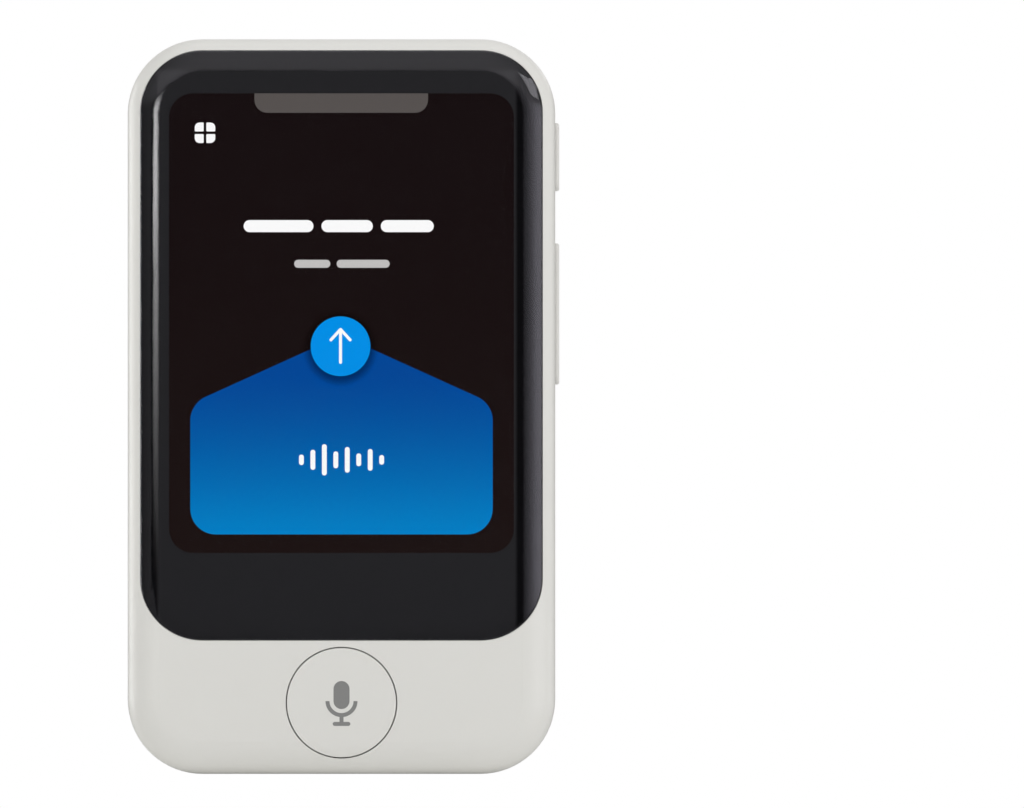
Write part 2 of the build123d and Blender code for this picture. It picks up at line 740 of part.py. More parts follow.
def board_screws():
    sizes = (BOARD_SCREW_R, BOARD_SCREW_L, BOARD_SCREW_HEAD_R, BOARD_SCREW_HEAD_H)
    upper = [screw(x, y, BOARD_FRONT, *sizes) for x, y in BOARD_SCREWS]
    return upper + [screw(x, y, SUB_FRONT, *sizes) for x, y in SUB_SCREWS]


def talk_sign():
    """Microphone sign: head, cradle, stem and foot."""
    head_y = SIGN_HEAD_Y
    cradle_y = head_y - SIGN_HEAD_L / 2 + SIGN_HEAD_W / 2
    sign = Pos(0, head_y) * Rot(0, 0, 90) * SlotOverall(SIGN_HEAD_L, SIGN_HEAD_W)
    ring = Circle(SIGN_CRADLE_R + SIGN_BAR / 2) - Circle(SIGN_CRADLE_R - SIGN_BAR / 2)
    below = Pos(0, -SIGN_CRADLE_R) * Rectangle(3 * SIGN_CRADLE_R, 2 * SIGN_CRADLE_R)
    sign += Pos(0, cradle_y) * (ring & below)
    stem_y = cradle_y - SIGN_CRADLE_R - SIGN_STEM_L / 2
    sign += Pos(0, stem_y) * Rectangle(SIGN_BAR, SIGN_STEM_L + SIGN_BAR)
    foot_y = stem_y - SIGN_STEM_L / 2 - SIGN_BAR / 2
    sign += Pos(0, foot_y) * SlotOverall(SIGN_FOOT_W, SIGN_BAR)
    return Pos(0, TALK_Y) * sign


TALK_UNDER = BODY_T - TALK_SKIN  # underside of the key's face


def talk_key_cap():
    """Cup-shaped key that follows the body's face, with a trimmed flange and two guide tabs."""
    cup = disc(TALK_R, 0, TALK_Y, (FLANGE_BACK, BODY_T + BEYOND)) & BODY
    cup -= disc(TALK_R - LENS_RIM, 0, TALK_Y, (0, TALK_UNDER))
    flange = Pos(0, TALK_Y) * Circle(TALK_R + TALK_FLANGE)
    tab_r = TALK_R + TALK_FLANGE + TALK_TAB_L
    flange += Pos(0, TALK_Y) * Rectangle(2 * tab_r, TALK_TAB_W)
    flange -= Pos(0, TALK_Y) * Circle(TALK_R - LENS_RIM)
    rim = along_z(flange, (FLANGE_BACK, FLANGE_FRONT)) & pebble(CHIN_SKIN + FIT)
    rim &= slab(0, BODY_T, 0, CHIN_END - FIT)
    return cup + rim - along_z(talk_sign(), (0, BODY_T + BEYOND))


def talk_key_lens():
    """Light guide moulded under the cap: its raised sign shows through the cap's face."""
    plate = disc(TALK_R - LENS_RIM - SNAP, 0, TALK_Y, (TALK_UNDER - LENS_T, TALK_UNDER))
    sign = along_z(talk_sign(), (TALK_UNDER, BODY_T + BEYOND)) & BODY
    return plate + sign + disc(PLUNGER_R, 0, TALK_Y, (PLUNGER_BACK, TALK_UNDER))


def talk_switch():
    half = SWITCH_W / 2
    y = (TALK_Y - half, TALK_Y + half)
    switch = block((-half, half), y, (KEY_BOARD_FRONT, SWITCH_FRONT))
    well_z = SWITCH_FRONT - FIT - TALK_TRAVEL - SNAP
    return switch - disc(STEM_R + SNAP, 0, TALK_Y, (well_z, SWITCH_FRONT + BEYOND))


def talk_switch_stem():
    return disc(STEM_R, 0, TALK_Y, (SWITCH_FRONT - FIT, PLUNGER_BACK))


def talk_key_leds():
    z = (KEY_BOARD_FRONT, KEY_BOARD_FRONT + LED_T)
    y = (TALK_Y - LED_W / 2, TALK_Y + LED_W / 2)
    return [block(x, y, z) for x in both_sides(LED_X - LED_L / 2, LED_X + LED_L / 2)]


def key_board():
    outer = rounded(KEY_BOARD_W, KEY_BOARD_L, POST_EDGE, 0, TALK_Y)
    board = along_z(outer, (KEY_BOARD_BACK, KEY_BOARD_FRONT))
    for x, y in POSTS:
        board -= disc(PIN_R + SNAP, x, y, (0, BODY_T))
    return board


POSTS = [
    (side_x * (KEY_BOARD_W / 2 - POST_EDGE), TALK_Y + side_y * (KEY_BOARD_L / 2 - POST_EDGE))
    for side_x in (-1, 1)
    for side_y in (-1, 1)
]


def key_board_flex():
    """Cable that loops from the key board down to the lower board."""
    plug_z = SUB_FRONT + LINK_PLUG_H
    top_z, low_z = KEY_BOARD_BACK - FLEX_T / 2, plug_z + FLEX_T / 2
    points = [
        (KEY_FLEX_Y, top_z),
        (KEY_FLEX_BOW, top_z),
        (KEY_FLEX_BOW, low_z),
        (KEY_FLEX_Y - LINK_PLUG_L / 2, low_z),
    ]
    cable = flat_cable(points, KEY_FLEX_X, KEY_FLEX_W)
    return cable + plug(KEY_FLEX_X, KEY_FLEX_Y, KEY_FLEX_W, (SUB_FRONT, plug_z))


def key_cap(length, y):
    """Outer part of a side key, rounded along its outer edge."""
    cap = key_slot(length, y, KEY_H, SIDE_Z, 0, (INNER_X - SNAP, HALF_W + KEY_OUT))
    return fillet(cap.faces().sort_by(Axis.X)[-1].edges(), KEY_ROUND)


def key_nib(y):
    nib = Pos(y, SIDE_Z) * Circle(KEY_NIB_R)
    return along_x(nib, (KEY_BACK_X - KEY_NIB_L, KEY_BACK_X))


def power_key():
    flange_x = (KEY_BACK_X, INNER_X - SNAP)
    flange = key_slot(POWER_L, POWER_Y, KEY_H, SIDE_Z, KEY_FLANGE, flange_x)
    return key_cap(POWER_L, POWER_Y) + flange + key_nib(POWER_Y)


def volume_key():
    """Rocker: its short flange lets the ends tilt, and a rib in the middle is its pivot."""
    flange_x = (KEY_BACK_X - VOLUME_SLACK, INNER_X - VOLUME_SLACK)
    key = key_cap(VOLUME_L, VOLUME_Y)
    key += key_slot(VOLUME_L, VOLUME_Y, KEY_H, SIDE_Z, 0, (flange_x[0], INNER_X))
    key += key_slot(VOLUME_FLANGE_L, VOLUME_Y, KEY_H, SIDE_Z, KEY_FLANGE, flange_x)
    for side in (-1, 1):
        key += key_nib(VOLUME_Y + side * VOLUME_NIB_Y)
    key += disc(PIVOT_R, PIVOT_X, VOLUME_Y, DOME_Z)
    return key + block((PIVOT_X, KEY_BACK_X), (VOLUME_Y - PIVOT_R, VOLUME_Y + PIVOT_R), DOME_Z)


def side_key_bracket():
    """Upright steel strip with a foot on the main board."""
    y = (BRACKET_Y0, BRACKET_Y1)
    strip = block((BRACKET_X, BRACKET_X + BRACKET_T), y, (BOARD_FRONT, CHASSIS_BACK - BOARD_GAP))
    foot_y = (BOARD_Y0 + BOARD_GAP, BRACKET_Y1 - RIB_T - SNAP)
    foot_z = (BOARD_FRONT, BOARD_FRONT + BRACKET_T)
    return strip + block((BRACKET_X - BRACKET_FOOT, BRACKET_X), foot_y, foot_z)


def side_key_flex():
    x = (BRACKET_X + BRACKET_T, BRACKET_X + BRACKET_T + FLEX_T)
    y = (BRACKET_Y0 + RIB_T + SNAP, BRACKET_Y1 - RIB_T - SNAP)
    return block(x, y, DOME_Z)


def side_key_switches():
    """Domes under the power key and both ends of the rocker."""
    places = (POWER_Y, VOLUME_Y - VOLUME_NIB_Y, VOLUME_Y + VOLUME_NIB_Y)
    base_x, face_x = DOME_X - DOME_T, DOME_X
    domes = []
    for y in places:
        base = block((base_x, base_x + DOME_T / 2), (y - DOME_W / 2, y + DOME_W / 2), DOME_Z)
        domes.append(base + along_x(Pos(y, SIDE_Z) * Circle(KEY_NIB_R), (base_x, face_x)))
    return domes


def sim_tray():
    """Tray leaf with a pocket for the card, behind a face with the eject pin's hole."""
    face_x = (-HALF_W + SIM_SUNK, LEAF_X0)
    tray = key_slot(SIM_FACE_L, SIM_Y, SIM_FACE_H, SIM_Z, 0, face_x)
    leaf_y = (LEAF_Y - TRAY_W / 2, LEAF_Y + TRAY_W / 2)
    leaf_z = (LEAF_BACK, LEAF_BACK + TRAY_LEAF_T)
    tray += block((LEAF_X0, LEAF_X1), leaf_y, leaf_z)
    card_x1 = LEAF_X1 - (TRAY_W - CARD_W) / 2
    card = Pos((card_x1 - CARD_L / 2), LEAF_Y) * Rectangle(CARD_L, CARD_W)
    card = chamfer(card.vertices().sort_by(Axis.X)[-2:].sort_by(Axis.Y)[-1:], CARD_CUT)
    tray -= along_z(card, (LEAF_BACK + TRAY_LEAF_T - CARD_T, BODY_T))
    opening = (CARD_L - 2 * CARD_LEDGE, CARD_W - 2 * CARD_LEDGE)
    tray -= along_z(Pos(card_x1 - CARD_L / 2, LEAF_Y) * Rectangle(*opening), (0, BODY_T))
    hole = Pos(EJECT_YC, SIM_Z) * Circle(PIN_HOLE_R)
    return tray - along_x(hole, (-HALF_W - BEYOND, 0))


def sim_socket():
    """Card connector on the main board: a slot for the tray, a closed box for the lever."""
    inner_y = LEAF_Y - TRAY_W / 2 - SOCKET_GAP, LEAF_Y + TRAY_W / 2 + SOCKET_GAP
    y0 = EJECT_YC - EJECT_R - SOCKET_WALL - SNAP
    box = block((SOCKET_X0, SOCKET_X1), (y0, inner_y[1] + SOCKET_WALL), (BOARD_FRONT, SOCKET_TOP))
    slot_z = (BOARD_FRONT + SOCKET_BASE, SOCKET_TOP - SOCKET_ROOF)
    box -= block((SOCKET_X0 - BEYOND, LEAF_X1 + SOCKET_GAP), inner_y, slot_z)
    rod = Pos(EJECT_YC, SIM_Z) * Circle(EJECT_R + SNAP)
    rod_x1 = SOCKET_X0 - EJECT_OUT + EJECT_L + EJECT_TRAVEL + SOCKET_GAP
    return box - along_x(rod, (SOCKET_X0 - BEYOND, rod_x1))


def sim_eject_rod():
    x0 = SOCKET_X0 - EJECT_OUT + SNAP
    return along_x(Pos(EJECT_YC, SIM_Z) * Circle(EJECT_R), (x0, x0 + EJECT_L))


def main_board():
    board = along_z(outline(BOARD_SIDE), (BOARD_BACK, BOARD_FRONT))
    board &= slab(0, BODY_T, BOARD_Y0, BODY_L)
    for x, y in SCREWS:
        if y > BOARD_Y0:
            board -= disc(BOSS_R + BOARD_NOTCH, x, y, (0, BODY_T))
    for x, y in BOARD_SCREWS:
        board -= disc(BOARD_SCREW_R + FIT, x, y, (0, BODY_T))
    return board


def sub_board():
    half = SUB_BOARD_W / 2
    board = block((-half, half), (SUB_BOARD_Y0, SUB_BOARD_Y0 + SUB_BOARD_L), (SUB_BACK, SUB_FRONT))
    for x, y in SUB_SCREWS:
        board -= disc(BOARD_SCREW_R + FIT, x, y, (0, BODY_T))
    return board


def link_flex():
    """Cable under the battery, between plugs on the backs of both boards."""
    low_z = WALL + FLEX_T / 2
    sub_z, main_z = SUB_BACK - LINK_PLUG_H, BOARD_BACK - LINK_PLUG_H
    points = [
        (LINK_START - LINK_PLUG_L / 2, sub_z - FLEX_T / 2),
        (LINK_START + LINK_PLUG_L / 2, sub_z - FLEX_T / 2),
        (LINK_START + LINK_PLUG_L / 2 + LINK_SLOPE, low_z),
        (LINK_END - LINK_PLUG_L / 2 - LINK_SLOPE, low_z),
        (LINK_END - LINK_PLUG_L / 2, main_z - FLEX_T / 2),
        (LINK_END + LINK_PLUG_L / 2, main_z - FLEX_T / 2),
    ]
    cable = flat_cable(points, LINK_FLEX_X, LINK_FLEX_W)
    cable += plug(LINK_FLEX_X, LINK_START, LINK_FLEX_W, (sub_z, SUB_BACK))
    return cable + plug(LINK_FLEX_X, LINK_END, LINK_FLEX_W, (main_z, BOARD_BACK))


# Limits in x and y of both cans: one between the card socket and the plugs, one in the upper left
PROCESSOR_CAN_Y0 = PLUG_Y0 + CAN_GAP
PROCESSOR_CAN = (
    (SOCKET_X1 + CAN_GAP, PLUG_X - PLUG_W / 2 - CAN_GAP),
    (PROCESSOR_CAN_Y0, PROCESSOR_CAN_Y0 + PROCESSOR_CAN_L),
)
RADIO_CAN = (
    (RADIO_CAN_SIDE - HALF_W, RADIO_CAN_SIDE - HALF_W + RADIO_CAN_W),
    (BODY_L - RADIO_CAN_TOP - RADIO_CAN_L, BODY_L - RADIO_CAN_TOP),
)


def shield_can(limits):
    """Thin pressed can over the chips, open towards the board."""
    (x0, x1), (y0, y1) = limits
    outer = rounded(x1 - x0, y1 - y0, BAR_RIB, (x0 + x1) / 2, (y0 + y1) / 2)
    can = along_z(outer, (BOARD_FRONT, BOARD_FRONT + CAN_H))
    x, y = (x0 + CAN_T, x1 - CAN_T), (y0 + CAN_T, y1 - CAN_T)
    return can - block(x, y, (0, BOARD_FRONT + CAN_H - CAN_T))


def chip(limits, width, side):
    """Square chip in the middle of a can's length; side is -1 at its left end, 1 at its right."""
    (x0, x1), (y0, y1) = limits
    inset = CAN_T + CAN_GAP + width / 2
    x = {-1: x0 + inset, 0: (x0 + x1) / 2, 1: x1 - inset}[side]
    y = (y0 + y1) / 2
    half = width / 2
    return block((x - half, x + half), (y - half, y + half), (BOARD_FRONT, BOARD_FRONT + CHIP_H))


def battery():
    """Pouch cell with rounded long edges."""
    y = (BATTERY_Y0, BATTERY_Y1)
    cell = block((-BATTERY_X, BATTERY_X), y, (BATTERY_BACK, BATTERY_FRONT))
    return fillet(cell.edges().filter_by(Axis.Y), BATTERY_R)


def battery_tape():
    """Two strips that stick the battery to the chassis plate."""
    y = (BATTERY_Y0 + TAPE_T, BATTERY_Y1 - TAPE_T)
    x = both_sides(BATTERY_X - BATTERY_R - TAPE_W, BATTERY_X - BATTERY_R)
    return [block(span, y, (BATTERY_FRONT, CHASSIS_BACK)) for span in x]


def battery_connector():
    x = (PLUG_X - PLUG_W / 2, PLUG_X + PLUG_W / 2)
    return block(x, (PLUG_Y0, PLUG_Y0 + PLUG_L), (BOARD_FRONT, BOARD_FRONT + PLUG_H))


def battery_lead():
    """Three short wires from the battery's upper end to its connector."""
    z = BOARD_FRONT + PLUG_H / 2
    places = [BATTERY_X - BATTERY_R - LEAD_PITCH * n for n in range(3)]
    return [along_y(Pos(x, z) * Circle(LEAD_R), (BATTERY_Y1, PLUG_Y0)) for x in places]


def camera_window():
    return disc(WINDOW_R, 0, CAMERA_Y, (WINDOW_SUNK, WINDOW_BACK))


def camera_tape():
    ring = Circle(WINDOW_R - WINDOW_GAP) - Circle(CAMERA_HOLE_R)
    return along_z(Pos(0, CAMERA_Y) * ring, (WINDOW_BACK, WINDOW_SEAT))


def camera_gasket():
    ring = Circle(GASKET_R) - Circle(BARREL_R + FIT)
    return along_z(Pos(0, CAMERA_Y) * ring, (WALL + CAMERA_BOSS_H, CAMERA_BACK))


def camera_module():
    """Square camera body on the board, with a barrel whose mouth is a cone round the lens."""
    half = CAMERA_W / 2
    y = (CAMERA_Y - half, CAMERA_Y + half)
    camera = block((-half, half), y, (CAMERA_BACK, BOARD_BACK))
    camera += disc(BARREL_R, 0, CAMERA_Y, (BARREL_BACK, CAMERA_BACK))
    mouth_r = LENS_R + LENS_SUNK
    mouth = Cone(mouth_r, LENS_R + SNAP, LENS_SUNK, align=(Align.CENTER, Align.CENTER, Align.MIN))
    camera -= Pos(0, CAMERA_Y, BARREL_BACK) * mouth
    return camera - disc(LENS_R + SNAP, 0, CAMERA_Y, (BARREL_BACK, CAMERA_BACK + SNAP))


def camera_lens():
    """Front lens: a short cylinder with a domed face towards the window."""
    z0 = BARREL_BACK + LENS_SUNK
    lens = disc(LENS_R, 0, CAMERA_Y, (z0, CAMERA_BACK + SNAP))
    return fillet(lens.edges().sort_by(Axis.Z)[0], (CAMERA_BACK + SNAP - z0) / 2)


def flash_lens():
    """Clear lens with fine rings in its face, held by a flange, with a light pipe to the lamp."""
    face_z = WINDOW_SUNK
    step = FLASH_R / (FRESNEL_RINGS + 1)
    outline_points = [(0, face_z)]
    for n in range(1, FRESNEL_RINGS + 1):
        outline_points.append((step * n, face_z + FRESNEL_DEPTH))
        outline_points.append((step * n, face_z))
    flange_z = WALL + SNAP
    led_z = BOARD_BACK - FLASH_LED_H - FLASH_LED_GAP
    outline_points += [
        (FLASH_R, face_z),
        (FLASH_R, flange_z),
        (FLASH_R + FLASH_FLANGE, flange_z),
        (FLASH_R + FLASH_FLANGE, flange_z + FLASH_FLANGE_T),
        (FLASH_PIPE_R, flange_z + FLASH_FLANGE_T),
        (FLASH_PIPE_R, led_z),
        (0, led_z),
    ]
    half_section = Plane.XZ * make_face(Polyline(*outline_points, close=True))
    return Pos(0, FLASH_Y, 0) * revolve(half_section, Axis.Z)


def flash_led():
    half = FLASH_LED_W / 2
    y = (FLASH_Y - half, FLASH_Y + half)
    return block((-half, half), y, (BOARD_BACK - FLASH_LED_H, BOARD_BACK))


def speaker_box(side):
    """Moulded speaker box whose back follows the shell; side is 1 on the right, -1 on the left."""
    x = sorted((side * (RIB_X + RIB_T + FIT), side * SPEAKER_X))
    y = (SPEAKER_Y0, SPEAKER_Y1)
    return block(x, y, (0, CHASSIS_BACK - BOARD_GAP)) & pebble(WALL + SPEAKER_SHELL_GAP)


def speaker_driver(side):
    x = sorted((side * SPEAKER_X, side * (SPEAKER_X + DRIVER_T)))
    frame = slot_at(DRIVER_L, DRIVER_H, SPEAKER_Y, SIDE_Z)
    dish = slot_at(DRIVER_L - 2 * MESH_RIM, DRIVER_H - 2 * MESH_RIM, SPEAKER_Y, SIDE_Z)
    face_x = side * (SPEAKER_X + DRIVER_T)
    dish_x = sorted((face_x - side * DRIVER_T / 2, face_x + side * BEYOND))
    return along_x(frame, x) - along_x(dish, dish_x)


def speaker_mesh(side):
    length = SOUND_PITCH * (SOUND_HOLES - 1) + 2 * SOUND_HOLE_R + 2 * MESH_RIM
    x = sorted((side * (INNER_X - MESH_T), side * INNER_X))
    return along_x(slot_at(length, 2 * SOUND_HOLE_R + 2 * MESH_RIM, SPEAKER_Y, SIDE_Z), x)


def microphone(x, wall_y, inward, board_front):
    """Microphone can on a board; inward is 1 at the bottom end and -1 at the top end."""
    near = wall_y + inward * (MIC_BOOT + MIC_HOLE_R)
    y = sorted((near, near + inward * MIC_L))
    return block((x - MIC_W / 2, x + MIC_W / 2), y, (board_front, board_front + MIC_H))


def mic_boot(x, wall_y, inward, board_front):
    """Rubber boot over a microphone, with a passage from the hole in the wall to its top."""
    half = MIC_W / 2 + MIC_BOOT
    passage_z = mic_height(board_front)
    far = wall_y + inward * (2 * MIC_BOOT + MIC_HOLE_R + MIC_L)
    y = sorted((wall_y, far))
    boot = block((x - half, x + half), y, (board_front, passage_z + MIC_HOLE_R + MIC_BOOT))
    boot -= microphone(x, wall_y, inward, board_front)
    turn_y = wall_y + inward * (MIC_BOOT + MIC_HOLE_R + MIC_L / 2)
    run = sorted((wall_y - inward * BEYOND, turn_y))
    boot -= along_y(Pos(x, passage_z) * Circle(MIC_HOLE_R), run)
    return boot - disc(MIC_HOLE_R, x, turn_y, (board_front, passage_z))


TOP_MIC = (TOP_MIC_X, BODY_L - WALL, -1, BOARD_FRONT)
LOW_MIC = (LOW_MIC_X, WALL, 1, SUB_FRONT)


def usb_shell():
    """Drawn steel shell of the port, open at its mouth and at its back."""
    ring = slot_at(USB_W, USB_H, 0, SIDE_Z)
    ring -= slot_at(USB_W - 2 * USB_SHELL_T, USB_H - 2 * USB_SHELL_T, 0, SIDE_Z)
    return along_y(ring, (USB_SUNK, USB_SUNK + USB_L))


def usb_tongue():
    """Plastic base that closes the shell's back, with the tongue that carries the contacts."""
    base_y1 = USB_SUNK + USB_L
    base_y0 = base_y1 - TONGUE_BASE
    base = slot_at(USB_W - 2 * USB_SHELL_T, USB_H - 2 * USB_SHELL_T, 0, SIDE_Z)
    tongue = Pos(0, SIDE_Z) * Rectangle(TONGUE_W, TONGUE_T)
    return along_y(base, (base_y0, base_y1)) + along_y(tongue, (base_y0 - TONGUE_L, base_y0))


def usb_contacts():
    """Two rows of gold contacts on the tongue."""
    y1 = USB_SUNK + USB_L - TONGUE_BASE
    contacts = []
    for n in range(CONTACTS):
        x = CONTACT_PITCH * (n - (CONTACTS - 1) / 2)
        for side in (-1, 1):
            z = sorted((SIDE_Z + side * TONGUE_T / 2, SIDE_Z + side * (TONGUE_T / 2 + CONTACT_T)))
            contacts.append(block((x - CONTACT_W / 2, x + CONTACT_W / 2), (y1 - CONTACT_L, y1), z))
    return contacts


AERIAL_Y = BODY_L - CORNER_R - AERIAL_L / 2
CELLULAR_X = CORNER_R + CELLULAR_EDGE + CELLULAR_W / 2 - HALF_W
WIFI_X = HALF_W - CORNER_R - WIFI_EDGE - WIFI_W / 2


def aerial(x, width):
    """Aerial film stuck to the inside of the back."""
    return along_z(rounded(width, AERIAL_L, BAR_RIB, x, AERIAL_Y), (WALL, WALL + AERIAL_T))


def aerial_springs():
    """Bent spring contacts from the main board to each aerial."""
    springs = []
    for x in (CELLULAR_X, WIFI_X):
        start = AERIAL_Y - AERIAL_L / 2 + SPRING_T
        high, low = BOARD_BACK - SPRING_T / 2, WALL + AERIAL_T + SPRING_T / 2
        points = [(start, high), (start + SPRING_L, high), (start + SPRING_T, low)]
        points.append((start + SPRING_L / 2, low))
        path = FilletPolyline(*points, radius=SPRING_T)
        springs.append(along_x(trace(path, SPRING_T), (x - SPRING_W / 2, x + SPRING_W / 2)))
    return springs


def stand(shape):
    """Turns the body upright: front to -Y, top end to +Z, bottom end on z = 0."""
    return Pos(0, BODY_T / 2, 0) * Rot(90, 0, 0) * shape


NODES = {
    "rear_cover": rear_cover(),
    "front_frame": front_frame(),
    "cover_glass": cover_glass(),
    "glass_tape": glass_tape(),
    "touch_panel": touch_panel(),
    "lcd_panel": lcd_panel(),
    "lcd_backlight": lcd_backlight(),
    "display_flex": display_flex(),
    "chassis_plate": chassis_plate(),
    "chassis_screws": chassis_screws(),
    "board_screws": board_screws(),
    "talk_key_cap": talk_key_cap(),
    "talk_key_lens": talk_key_lens(),
    "talk_switch": talk_switch(),
    "talk_switch_stem": talk_switch_stem(),
    "talk_key_leds": talk_key_leds(),
    "key_board": key_board(),
    "key_board_flex": key_board_flex(),
    "power_key": power_key(),
    "volume_key": volume_key(),
    "side_key_bracket": side_key_bracket(),
    "side_key_flex": side_key_flex(),
    "side_key_switches": side_key_switches(),
    "sim_tray": sim_tray(),
    "sim_socket": sim_socket(),
    "sim_eject_rod": sim_eject_rod(),
    "main_board": main_board(),
    "sub_board": sub_board(),
    "link_flex": link_flex(),
    "shield_processor": shield_can(PROCESSOR_CAN),
    "shield_radio": shield_can(RADIO_CAN),
    "processor_chip": chip(PROCESSOR_CAN, PROCESSOR_W, -1),
    "memory_chip": chip(PROCESSOR_CAN, MEMORY_W, 1),
    "radio_chip": chip(RADIO_CAN, RADIO_W, 0),
    "battery": battery(),
    "battery_tape": battery_tape(),
    "battery_connector": battery_connector(),
    "battery_lead": battery_lead(),
    "camera_window": camera_window(),
    "camera_tape": camera_tape(),
    "camera_gasket": camera_gasket(),
    "camera_module": camera_module(),
    "camera_lens": camera_lens(),
    "flash_lens": flash_lens(),
    "flash_led": flash_led(),
    "speaker_box_left": speaker_box(-1),
    "speaker_box_right": speaker_box(1),
    "speaker_driver_left": speaker_driver(-1),
    "speaker_driver_right": speaker_driver(1),
    "speaker_mesh_left": speaker_mesh(-1),
    "speaker_mesh_right": speaker_mesh(1),
    "microphones": [microphone(*TOP_MIC), microphone(*LOW_MIC)],
    "mic_boots": [mic_boot(*TOP_MIC), mic_boot(*LOW_MIC)],
    "usb_shell": usb_shell(),
    "usb_tongue": usb_tongue(),
    "usb_contacts": usb_contacts(),
    "aerial_cellular": aerial(CELLULAR_X, CELLULAR_W),
    "aerial_wifi": aerial(WIFI_X, WIFI_W),
    "aerial_springs": aerial_springs(),
}

os.makedirs("parts", exist_ok=True)
for name, shape in NODES.items():
    solids = [stand(piece) for piece in (shape if isinstance(shape, list) else [shape])]
    export_step(solids[0] if len(solids) == 1 else Compound(children=solids), f"parts/{name}.step")
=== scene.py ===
import math

import bmesh
import bpy
from mathutils import Matrix, Vector


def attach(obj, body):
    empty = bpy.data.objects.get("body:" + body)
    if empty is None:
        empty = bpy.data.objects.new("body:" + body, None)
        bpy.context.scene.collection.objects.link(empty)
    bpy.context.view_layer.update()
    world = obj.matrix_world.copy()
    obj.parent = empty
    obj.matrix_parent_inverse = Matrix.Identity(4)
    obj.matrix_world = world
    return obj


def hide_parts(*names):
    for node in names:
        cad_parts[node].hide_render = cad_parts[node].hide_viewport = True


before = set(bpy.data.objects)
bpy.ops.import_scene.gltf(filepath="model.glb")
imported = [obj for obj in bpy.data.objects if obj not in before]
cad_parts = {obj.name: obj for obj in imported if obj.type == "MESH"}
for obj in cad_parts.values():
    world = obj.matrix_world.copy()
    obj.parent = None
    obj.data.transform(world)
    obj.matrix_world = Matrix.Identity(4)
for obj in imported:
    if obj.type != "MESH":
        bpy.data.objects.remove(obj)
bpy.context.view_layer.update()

# --- Rear cover -------------------------------------------------------------------------------
# One moulding in warm light-grey ABS. The mould's skin is spark-eroded to a very fine satin grain,
# and the openings, the strap bar and the screw posts inside are all part of the same shot.

MM = 0.001


def srgb(r, g, b):
    """A paint-chart colour, 0 to 255, as the linear colour that shaders take."""
    line = [c / 255 / 12.92 if c <= 10 else ((c / 255 + 0.055) / 1.055) ** 2.4 for c in (r, g, b)]
    return (*line, 1.0)


def new_group(name, takes, gives):
    """Empty shader node group, with sockets given as (name, kind, value)."""
    group = bpy.data.node_groups.new(name, "ShaderNodeTree")
    for label, kind, value in takes:
        socket = group.interface.new_socket(label, in_out="INPUT", socket_type="NodeSocket" + kind)
        socket.default_value = value
    for label, kind in gives:
        group.interface.new_socket(label, in_out="OUTPUT", socket_type="NodeSocket" + kind)
    return group, group.nodes.new("NodeGroupInput"), group.nodes.new("NodeGroupOutput")


def step_math(tree, operation, first, second=None, third=None):
    """Math node fed by numbers or sockets, whose result is returned."""
    node = tree.nodes.new("ShaderNodeMath")
    node.operation = operation
    for socket, value in zip(node.inputs, (first, second, third)):
        if isinstance(value, (int, float)):
            socket.default_value = value
        elif value is not None:
            tree.links.new(value, socket)
    return node.outputs[0]


def own_place(tree):
    """Where a point lies on its own piece, in metres."""
    return tree.nodes.new("ShaderNodeTexCoord").outputs["Object"]


def mottling(tree, where, scale, detail=2):
    """Noise from 0 to 1 at a place; the scale is a number or a socket."""
    noise = tree.nodes.new("ShaderNodeTexNoise")
    noise.inputs["Detail"].default_value = detail
    tree.links.new(where, noise.inputs["Vector"])
    if isinstance(scale, (int, float)):
        noise.inputs["Scale"].default_value = scale
    else:
        tree.links.new(scale, noise.inputs["Scale"])
    return noise.outputs["Fac"]


def about(tree, mottle, depth, middle):
    """Noise turned into a value that varies by a depth about a middle."""
    offset = step_math(tree, "SUBTRACT", mottle, 0.5)
    return step_math(tree, "MULTIPLY_ADD", offset, depth, middle)


def shaded(tree, color, share):
    """Colour made lighter or darker by a share; the colour is a value or a socket."""
    tint = tree.nodes.new("ShaderNodeVectorMath")
    tint.operation = "SCALE"
    if isinstance(color, tuple):
        tint.inputs[0].default_value = color[:3]
    else:
        tree.links.new(color, tint.inputs[0])
    tree.links.new(share, tint.inputs["Scale"])
    return tint.outputs[0]


def moulded_skin_group():
    """Plastic skin: a slow drift of shade, a fine satin grain and a little unevenness in gloss."""
    group, take, give = new_group(
        "moulded_skin",
        [
            ("Color", "Color", (0.6, 0.6, 0.58, 1)),
            ("Drift", "Float", 0.03),
            ("Gloss", "Float", 0.4),
            ("Grain", "Float", 5500.0),
        ],
        [("Color", "Color"), ("Roughness", "Float"), ("Height", "Float")],
    )
    where = own_place(group)
    shade = about(group, mottling(group, where, 45, 3), take.outputs["Drift"], 1.0)
    group.links.new(shaded(group, take.outputs["Color"], shade), give.inputs["Color"])
    gloss = about(group, mottling(group, where, 160, 4), 0.12, take.outputs["Gloss"])
    group.links.new(gloss, give.inputs["Roughness"])
    group.links.new(mottling(group, where, take.outputs["Grain"]), give.inputs["Height"])
    return group


def softened_edges_group():
    """Small radius on every edge, given as the normal of the rounded surface."""
    group, take, give = new_group(
        "softened_edges", [("Radius", "Float", 0.1 * MM)], [("Normal", "Vector")]
    )
    round_over = group.nodes.new("ShaderNodeBevel")
    round_over.samples = 6
    group.links.new(take.outputs["Radius"], round_over.inputs["Radius"])
    group.links.new(round_over.outputs["Normal"], give.inputs["Normal"])
    return group


MOULDED_SKIN = moulded_skin_group()
SOFTENED_EDGES = softened_edges_group()


def add_group(tree, group, **values):
    """Puts a node group into a material, with its own values for the group's sockets."""
    node = tree.nodes.new("ShaderNodeGroup")
    node.node_tree = group
    for label, value in values.items():
        node.inputs[label].default_value = value
    return node


